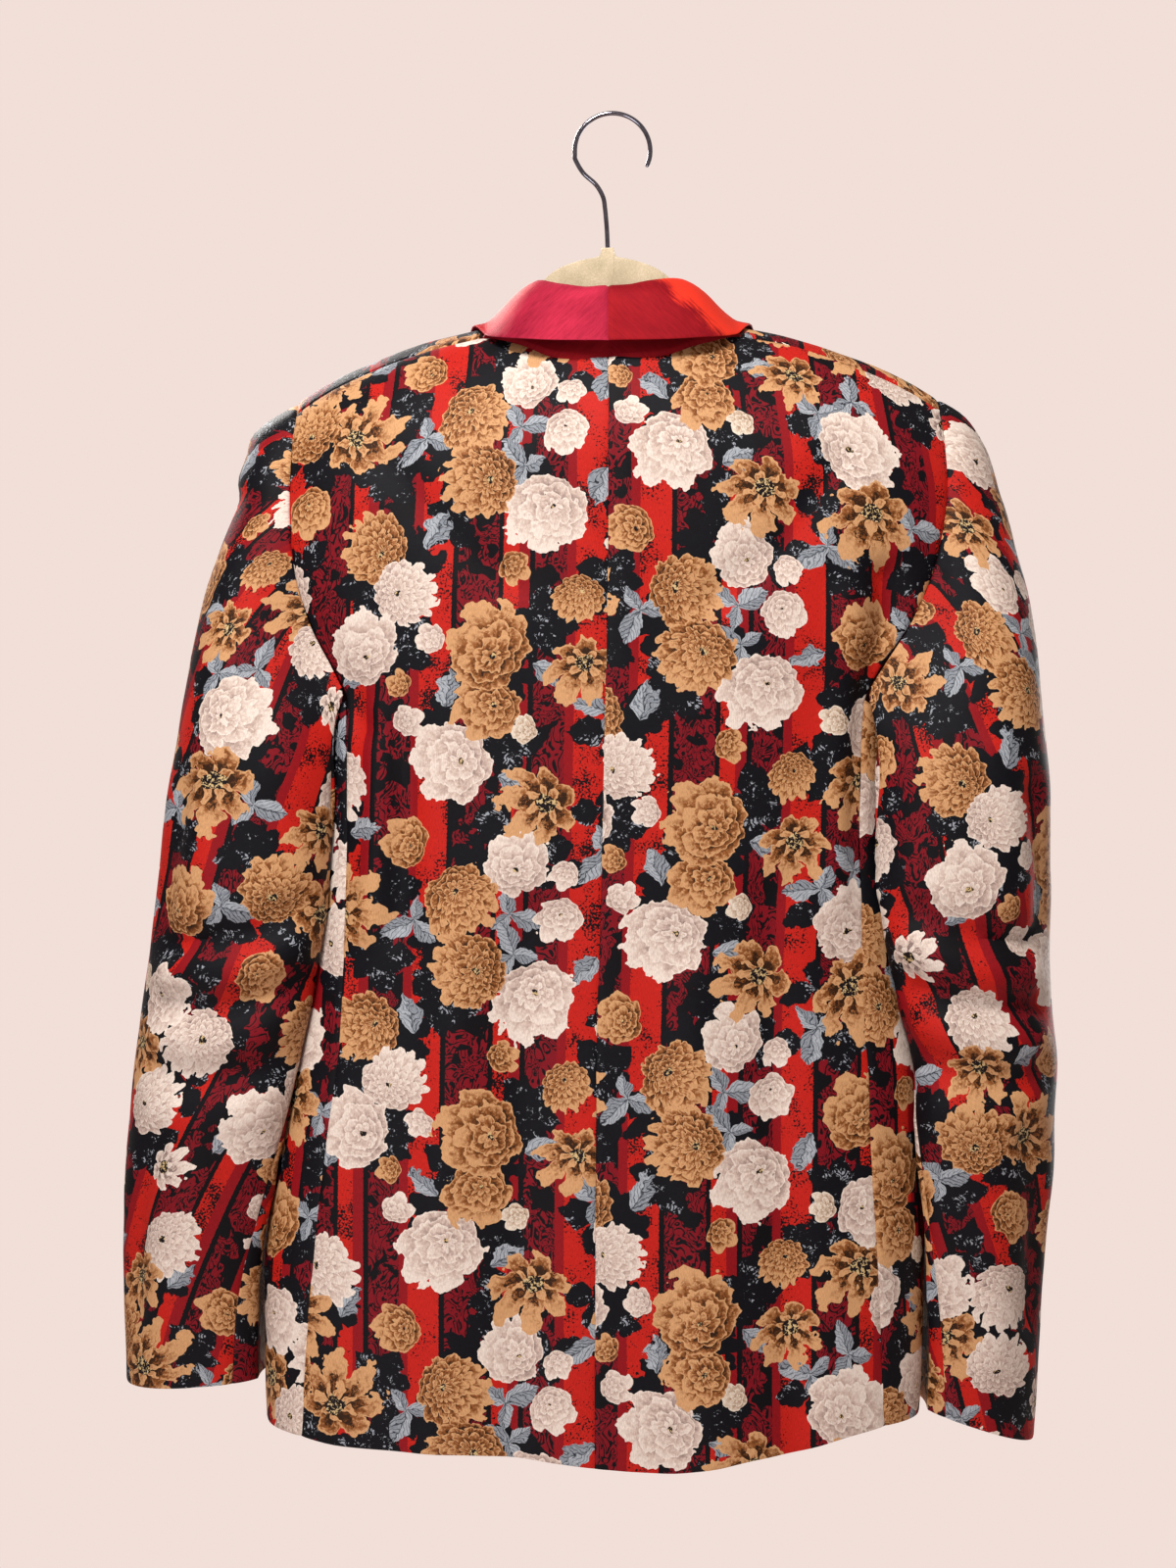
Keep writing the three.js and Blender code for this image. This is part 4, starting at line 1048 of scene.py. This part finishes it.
def jacquard_material():
    g, dress = material("jacquard", (0.45, 0.12, 0.10))
    cut = g.uv("cut")
    x, y, _ = g.split(cut)
    # stripes along the grain
    rag = g.noise(cut, 900.0, 1.0)
    sx = g.mad(rag, 0.0016, x)
    t = g.math("FRACT", g.math("DIVIDE", sx, REPEAT[0] * MM / 3))
    red, deep, wine, black = srgb("CC2218"), srgb("96101A"), srgb("860F1E"), srgb("0B090F")
    starts = [(0.0, red), (0.20, black), (0.235, wine), (0.50, black), (0.53, red), (0.63, deep),
              (0.70, black), (0.735, wine), (0.94, deep)]
    stripes = g.ramp(t, starts, "CONSTANT")
    is_wine, is_red = (
        g.ramp(t, [(at, int(colour == one)) for at, colour in starts], "CONSTANT")
        for one in (wine, red)
    )
    fine = g.noise(cut, 620.0, 2.0, 0.6)
    patch = g.noise(cut, 38.0, 2.0, 0.6)
    speck = g.above(g.mad(patch, 0.55, g.mul(fine, 0.6)), 0.635)
    speck = g.mul(speck, is_red)
    scroll = g.noise(g.vector("MULTIPLY", cut, (1.0, 0.6, 1.0)), 85.0, 2.0, 0.55, 1.6)
    fold = g.sub(g.math("FRACT", g.mul(scroll, 7.0)), 0.5)
    band = g.below(g.math("ABSOLUTE", fold), 0.19)
    blot = g.above(patch, 0.565)
    arabesque = g.mul(g.math("MAXIMUM", band, blot), is_wine)
    ground = g.mix(speck, stripes, (*black, 1))
    ground = g.mix(arabesque, ground, (*black, 1))
    # blooms and leaves over them, the lowest first
    tree = motif_group()
    swirl = g.vector("SUBTRACT", g.noise(cut, 105.0, 2.0, 0.55, colour=True), (0.5, 0.5, 0.5))
    swirl = g.vector("SCALE", swirl, scale=0.34)
    grain = g.noise(cut, 430.0, 3.0, 0.65, 0.6)
    colour = ground
    for name in reversed(LAYERS):
        n = g.node("Group")
        n.node_tree = tree
        g.put(n.inputs[0], g.uv(name))
        g.put(n.inputs[1], swirl)
        g.put(n.inputs[2], grain)
        colour = g.mix(n.outputs[1], colour, n.outputs[0])
    threads = g.noise(g.vector("MULTIPLY", cut, (1.0, 0.25, 1.0)), 1500.0, 1.0)
    colour = g.mix(1.0, colour, g.ramp(threads, [(0.3, 0.60), (0.7, 0.80)]), "MULTIPLY")
    return dress({
        "Base Color": colour,
        "Roughness": 0.58,
        "Specular IOR Level": 0.12,
        "Normal": g.bump(weave(g, cut, 0.0009, 0.0007), 0.35, 0.0003),
    })


def lining_material():
    g, dress = material("lining", (0.10, 0.02, 0.03))
    cut = g.uv("cut")
    cloud = g.noise(cut, 30.0, 3.0)
    return dress({
        "Base Color": g.ramp(cloud, [(0.3, srgb("4A0E18")), (0.7, srgb("641622"))]),
        "Roughness": 0.45,
        "Sheen Weight": 0.1,
        "Normal": g.bump(weave(g, cut, 0.0007, 0.0011), 0.25, 0.0002),
    })


def satin_material(name, low, high, lit, painted_sheen_span):
    """Satin with a painted sheen: over one stretch of its length its colour turns lighter and more
    orange, standing in for light on it.
    """
    g, dress = material(name, (0.62, 0.04, 0.05))
    cut = g.uv("cut")
    slub = g.noise(g.vector("MULTIPLY", cut, (0.22, 1.0, 1.0)), 520.0, 3.0, 0.6)
    cloud = g.noise(cut, 22.0, 2.0)
    share = g.mad(slub, 0.45, g.mul(cloud, 0.55))
    colour = g.ramp(share, [(0.36, srgb(low)), (0.62, srgb(high))])
    # where along the cut the painted sheen lies, with a ragged edge
    place = g.mad(g.sub(cloud, 0.5), 0.05, g.split(cut)[1])
    place = g.mad(g.sub(slub, 0.5), 0.02, place)
    start, end = painted_sheen_span
    # painted sheen: this mask mixes the lit colour in, as painted light
    shine = g.ramp(place, [(start - 0.004, 0), (start + 0.003, 1), (end - 0.02, 0.8), (end, 0)])
    height = g.mad(slub, 0.7, weave(g, cut, 0.0006, 0.0009))
    return dress({
        "Base Color": g.mix(shine, colour, (*srgb(lit), 1)),
        "Roughness": g.mad(slub, 0.16, 0.42),
        "Metallic": 0.22,
        "Specular IOR Level": 0.1,
        "Specular Tint": (1.0, 0.45, 0.40, 1),
        "Anisotropic": 0.5,
        "Normal": g.bump(height, 0.45, 0.0003),
    })


def velvet_material():
    g, dress = material("velvet", (0.62, 0.53, 0.33))
    where = g.node("TexCoord").outputs["Object"]
    pile = g.noise(where, 1400.0, 3.0, 0.7)
    brushed = g.noise(where, 60.0, 3.0, 0.6)
    share = g.mad(pile, 0.55, g.mul(brushed, 0.45))
    tones = [(0.32, srgb("A3977C")), (0.55, srgb("C4B498")), (0.72, srgb("E0CFB4"))]
    return dress({
        "Base Color": g.ramp(share, tones),
        "Roughness": 0.95,
        "Specular IOR Level": 0.15,
        "Sheen Weight": 0.6,
        "Sheen Roughness": 0.3,
        "Normal": g.bump(pile, 0.6, 0.0006),
    })


def chrome_material():
    g, dress = material("chrome", (0.75, 0.76, 0.78))
    haze = g.noise(g.node("TexCoord").outputs["Object"], 220.0, 3.0, 0.6)
    return dress({
        "Base Color": g.ramp(haze, [(0.3, srgb("6E6C76")), (0.7, srgb("8C8A94"))]),
        "Metallic": 1.0,
        "Roughness": g.mad(haze, 0.14, 0.06),
        "Normal": g.bump(haze, 0.05, 0.0003),
    })


JACQUARD = jacquard_material()
LINING = lining_material()
# each satin: its colours low and high, then the painted sheen's colour and the stretch of the cut
# that the painted sheen covers
SATINS = {
    name: satin_material("satin_" + name, *look)
    for name, *look in (
        # the left half's colours are painted lighter and pinker than the right half's, as painted
        # light; both halves are one satin
        ("left", "82162C", "B22943", "A81C26", (0.155, 0.21)),
        ("right", "760E1A", "961820", "E83A28", (0.137, 0.20)),
        ("stand", "760E1A", "961820", "961820", (0.5, 0.6)),
    )
}
VELVET = velvet_material()
CHROME = chrome_material()

# ---- cloth pieces ----------------------------------------------------------
CELL, COLLAR_CELL, STAND_CELL = 6.5, 5.0, 4.0
ORIGIN = {  # where each piece was cut from the printed cloth, in metres
    "back_left": (0.02, 0.00), "back_right": (0.186, 0.118),
    "side_left": (0.09, 0.21), "side_right": (0.24, 0.05),
    "front_left": (0.13, 0.16), "front_right": (0.27, 0.24),
    "top_sleeve_left": (0.05, 0.10), "top_sleeve_right": (0.21, 0.27),
    "under_sleeve_left": (0.16, 0.02), "under_sleeve_right": (0.08, 0.19),
}
SLEEVE_TILT = math.radians(16)  # the sleeves were cut this much off the stripes
SEAMS = {  # which edges of a piece turn in: low u, high u, low v, high v
    "body": (1, 1, 0, 1), "front": (1, 0, 0, 1), "sleeve": (1, 1, 1, 0), "collar": (0, 0, 1, 0),
}
report = {}


def cloth(name, surface, size, turn, relief, ref, seams, rests, tilt=0.0, downward=False):
    o, faces, flat, span, area = panel(
        "cloth_" + name, name, surface, size, CELL, turn, CLOTH, relief, ref, ORIGIN[name],
        SEAMS[seams], (JACQUARD, LINING), tilt, downward,
    )
    report[name] = {"dropped": lay_print(o.data, faces, flat), "span": span, "area": area}
    min(area, span[0] * span[1])


def satin(name, node, surface, size, cell, turn, relief, origin, stuff):
    o, _, _, span, area = panel(
        name, node, surface, size, cell, turn, SATIN, relief, 0.0, origin, SEAMS["collar"],
        (SATINS[stuff],),
    )
    report[node] = {"span": span, "area": area}
    min(area, span[0] * span[1])


for hand, side, seed in (("left", 1, 3.0), ("right", -1, 17.0)):

    def hung(point):
        return lambda u, v: hang(point(u, v, side), side)

    def sleeve(start, end):
        return hung(lambda u, v, _: sleeve_point(hand, lerp(start, end, u), v))

    def back_relief(p, u, v, s):
        return crease(BACK_FOLDS, p.x, p.z) + soft(p, seed)

    def side_relief(p, u, v, s):
        return soft(p, seed + 5) - 2.0 * math.sin(math.pi * u) * (1 - v)

    def front_relief(p, u, v, s):
        return 0.6 * soft(p, seed + 9) * (1 if p.z > -500 or u < 0.7 else 0.4)

    def sleeve_relief(p, u, v, s):
        fade = smoothstep(v, 0.05, 0.3) * (1 - smoothstep(v, 0.93, 1.0))
        slow = soft(p, seed + 13) * smoothstep(v, 0.0, 0.12)
        return crease(SLEEVE_FOLDS, s, p.z) * fade + slow

    def under_relief(p, u, v, s):
        return 0.7 * soft(p, seed + 21) * smoothstep(v, 0.0, 0.2)

    def stand_relief(p, u, v, s):
        return 4.5 * math.exp(-(((u - 0.12) / 0.12) ** 2)) * (1 - smoothstep(v, 0.4, 0.8))

    def collar_relief(p, u, v, s):
        wave = 0.9 * noise.noise(Vector((v * 14 + seed, u * 1.5, 0)))
        return wave * math.sin(math.pi * u) * (1 - smoothstep(v, 0.3, 0.42))

    on_body = ["cloth_back_" + hand, "cloth_front_" + hand]
    on_plate = ["hanger_body"]
    cut = (side * SLEEVE_TILT, True)  # measured down from the sleeve's head
    flat = (0.3 * side, 0.1)  # where the satin was cut from its cloth
    cloth("back_" + hand, hung(back_point), (221, 760), -side, back_relief, 0.0, "body", on_plate)
    cloth("side_" + hand, hung(side_point), (140, 480), -side, side_relief, 0.0, "body", on_body)
    cloth("front_" + hand, hung(front_point), (190, 780), -side, front_relief, 1.0, "front",
          on_plate)
    cloth("top_sleeve_" + hand, sleeve(FORE_SHARE, 1 + HIND_SHARE), (270, 620), -side,
          sleeve_relief, 0.75, "sleeve", on_body, *cut)
    cloth("under_sleeve_" + hand, sleeve(HIND_SHARE, FORE_SHARE), (100, 500), -side,
          under_relief, 0.5, "sleeve", on_body, *cut)
    satin("satin_collar_" + hand, "collar_" + hand, hung(collar_point), (60, 560), COLLAR_CELL,
          -side, collar_relief, flat, hand)
    satin("satin_stand_" + hand, "collar_stand_" + hand, hung(stand_point), (32, 170), STAND_CELL,
          side, stand_relief, flat, "stand")


# ---- button, hanger and hook -----------------------------------------------
def skin(name, rings, materials, sharp, flip=False):
    """A closed skin over rings of points, in millimetres."""
    n = len(rings[0])
    start, last = tuple(range(n)), (len(rings) - 1) * n
    faces = []
    for i in range(0, last, n):
        for k, m in zip(start, start[1:] + (0,)):
            quad = (i + k, i + m, i + n + m, i + n + k)
            faces.append((quad[0], *quad[:0:-1]) if flip else quad)
    ends = [start[::-1], tuple(last + k for k in start)]
    faces += [face[::-1] for face in ends] if flip else ends
    mesh = bpy.data.meshes.new(name)
    mesh.from_pydata([Vector(p) * MM for ring in rings for p in ring], [], faces)
    mesh.update()
    return new_object(name, mesh, materials, sharp)


def circle(steps):
    angles = [2 * math.pi * k / steps for k in range(steps)]
    return [(math.cos(a), math.sin(a)) for a in angles]


lo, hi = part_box("button")
x, y, z = (lo.x + hi.x) / 2 / MM, hi.y / MM, (lo.z + hi.z) / 2 / MM
profile = [  # radius, and height above its seat
    (6, 0), (8.6, 0), (9.5, 0.5), (9.9, 1.3), (9.9, 1.9), (9.5, 2.7), (8.9, 3.2), (8.7, 3.0),
    (8.3, 3.3), (6.8, 4.0), (4.6, 4.5), (2.4, 4.75), (0.6, 4.8),
]
rings = [[(x + r * c, y - h, z + r * s) for c, s in circle(56)] for r, h in profile]
button = skin("satin_button", rings, (SATINS["left"],), 50)
layer = button.data.uv_layers.new(name="cut")
for loop in button.data.loops:
    co = button.data.vertices[loop.vertex_index].co
    layer.data[loop.index].uv = (co.x, co.z)
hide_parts("button")


def plate_top(x):
    far = abs(x)
    if far <= NECK_X:
        return PLATE_TOP.at("z", far) - SHOULDER_TILT * x * smoothstep(far, 55, NECK_X)
    side = 1 if x >= 0 else -1
    own = far / (1 - side * SHOULDER_SPREAD)
    z = hang(Vector((own, 0, RIDGE.at("z", own))), side).z
    return z - CLOTH / 2 - SEAT - NECK_DIP * (1 - smoothstep(far, NECK_X, 118))


def plate_depth(x):
    far = abs(x)
    deep = ARM_DEEP * (1 - 0.62 * smoothstep(far, ARM_END - 24, ARM_END))
    deep += BOSS_DEEP * (1 - smoothstep(far, 4, 12))
    return deep + NECK_DEEP * (1 - smoothstep(far, 25, 90))


def plate_rings():
    """The arched plate, with its edges rounded over."""
    boss = [4.3, 4.55, 4.8, 5.3, 5.9, 7, 8.6, 11, 14]
    marks = {*np.linspace(-ARM_END, ARM_END, 117).tolist(), *boss, *(-x for x in boss)}
    # across the edge: share of the half thickness, and depth below the edge
    edge = [(-1.0, 1.1), (-0.93, 0.45), (-0.72, 0.08), (-0.4, 0.0),
            (0.4, 0.0), (0.72, 0.08), (0.93, 0.45), (1.0, 1.1)]
    rings = []
    for x in sorted(marks):
        end = min(1.0, (ARM_END - abs(x)) / 3.0)
        pinch = 0.55 * (1 - end)
        half = PLATE_THICK / 2 * (1 - 0.5 * (1 - end))
        top = plate_top(x)
        low = top - plate_depth(x)
        ring = [(half * s, top - drop - pinch) for s, drop in edge]
        ring += [(half * s, low + drop + pinch) for s, drop in reversed(edge)]
        rings.append([(x + CENTRE_X, y, z) for y, z in ring])
    return rings


plate = skin("velvet_plate", plate_rings(), (VELVET,), 60)
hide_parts("hanger_body")


def hook_rings():
    """A round wire along a smooth line through the hook's bend and its tail."""
    points = []
    middle_z = -(HOOK_RADIUS - HOOK_WIRE)
    for k in range(-25, 186, 15):
        a = math.radians(k)
        across = -HOOK_RADIUS * math.cos(a)
        points.append(Vector((across, 0, middle_z + HOOK_RADIUS * math.sin(a))))
    points += [Vector((x, 0, z)) for x, z in HOOK_TAIL]
    path = []
    for i in range(len(points) - 1):
        p0, p1, p2 = points[max(i - 1, 0)], points[i], points[i + 1]
        p3 = points[min(i + 2, len(points) - 1)]
        for t in (0, 0.2, 0.4, 0.6, 0.8):
            bend = (2 * p0 - 5 * p1 + 4 * p2 - p3) * t * t + (3 * p1 - p0 - 3 * p2 + p3) * t**3
            path.append(0.5 * (2 * p1 + (p2 - p0) * t + bend))
    path.append(points[-1])
    radii = [HOOK_WIRE * 0.62, HOOK_WIRE * 0.95] + [HOOK_WIRE] * (len(path) - 2)
    rings = []
    for i, (p, r) in enumerate(zip(path, radii)):
        d = (path[min(i + 1, len(path) - 1)] - path[max(i - 1, 0)]).normalized()
        n = Vector((d.z, 0, -d.x))
        rings.append([p + (n * c + Vector((0, 1, 0)) * s) * r for c, s in circle(18)])
    return rings


wire = skin("chrome_wire", hook_rings(), (CHROME,), 60, flip=True)
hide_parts("hanger_hook")


# ---- stage -----------------------------------------------------------------
def area_light(name, place, target, size, watts, colour=(1, 1, 1)):
    light = bpy.data.lights.new(name, "AREA")
    light.shape = "DISK"
    light.size, light.energy, light.color = size, watts, colour
    o = bpy.data.objects.new(name, light)
    scene.collection.objects.link(o)
    o.location = place
    o.rotation_euler = (Vector(target) - Vector(place)).to_track_quat("-Z", "Y").to_euler()


area_light("key", (0.3, 1.25, 1.05), (0, 0, -0.4), 0.5, 47, (1.0, 0.965, 0.92))
area_light("fill", (0.9, 1.9, -0.9), (0, 0, -0.4), 0.9, 14, (0.97, 0.97, 1.0))
area_light("front_key", (1.1, -1.7, 0.9), (0, 0, -0.45), 0.9, 54, (1.0, 0.97, 0.94))
area_light("front_fill", (-1.5, -1.9, -0.5), (0, 0, -0.55), 1.2, 18)

world = bpy.data.worlds.new("world")
scene.world = world
world.use_nodes = True
air = Graph(world.node_tree)
room = world.node_tree.nodes["Background"]
room.inputs[0].default_value = (*srgb("F1DFD8"), 1)
# a bright wall beyond the front of the blazer, and a dimmer room on every other side
north = air.split(air.node("TexCoord").outputs["Generated"])[1]
share = air.mad(north, 0.5, 0.5)
air.put(room.inputs[1], air.ramp(share, [(0.039, 1.0), (0.08, 0.39)]))
scene.view_settings.view_transform = "Standard"

bpy.ops.mesh.primitive_circle_add(
    vertices=96, radius=1.5, fill_type="NGON", location=(0, 0, -1.75)
)
floor = bpy.context.object
floor.name = "floor"
g, dress = material("floor", (0.8, 0.72, 0.68))
cloud = g.noise(g.node("TexCoord").outputs["Object"], 6.0, 2.0)
tones = [(0.3, srgb("E9D8D0")), (0.7, srgb("EFE0D9"))]
floor.data.materials.append(dress({"Base Color": g.ramp(cloud, tones), "Roughness": 0.8}))
floor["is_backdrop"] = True

bpy.context.view_layer.update()
lo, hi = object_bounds()
for name, row in report.items():
    print("CUT", name, {k: np.round(v, 4).tolist() for k, v in row.items()})
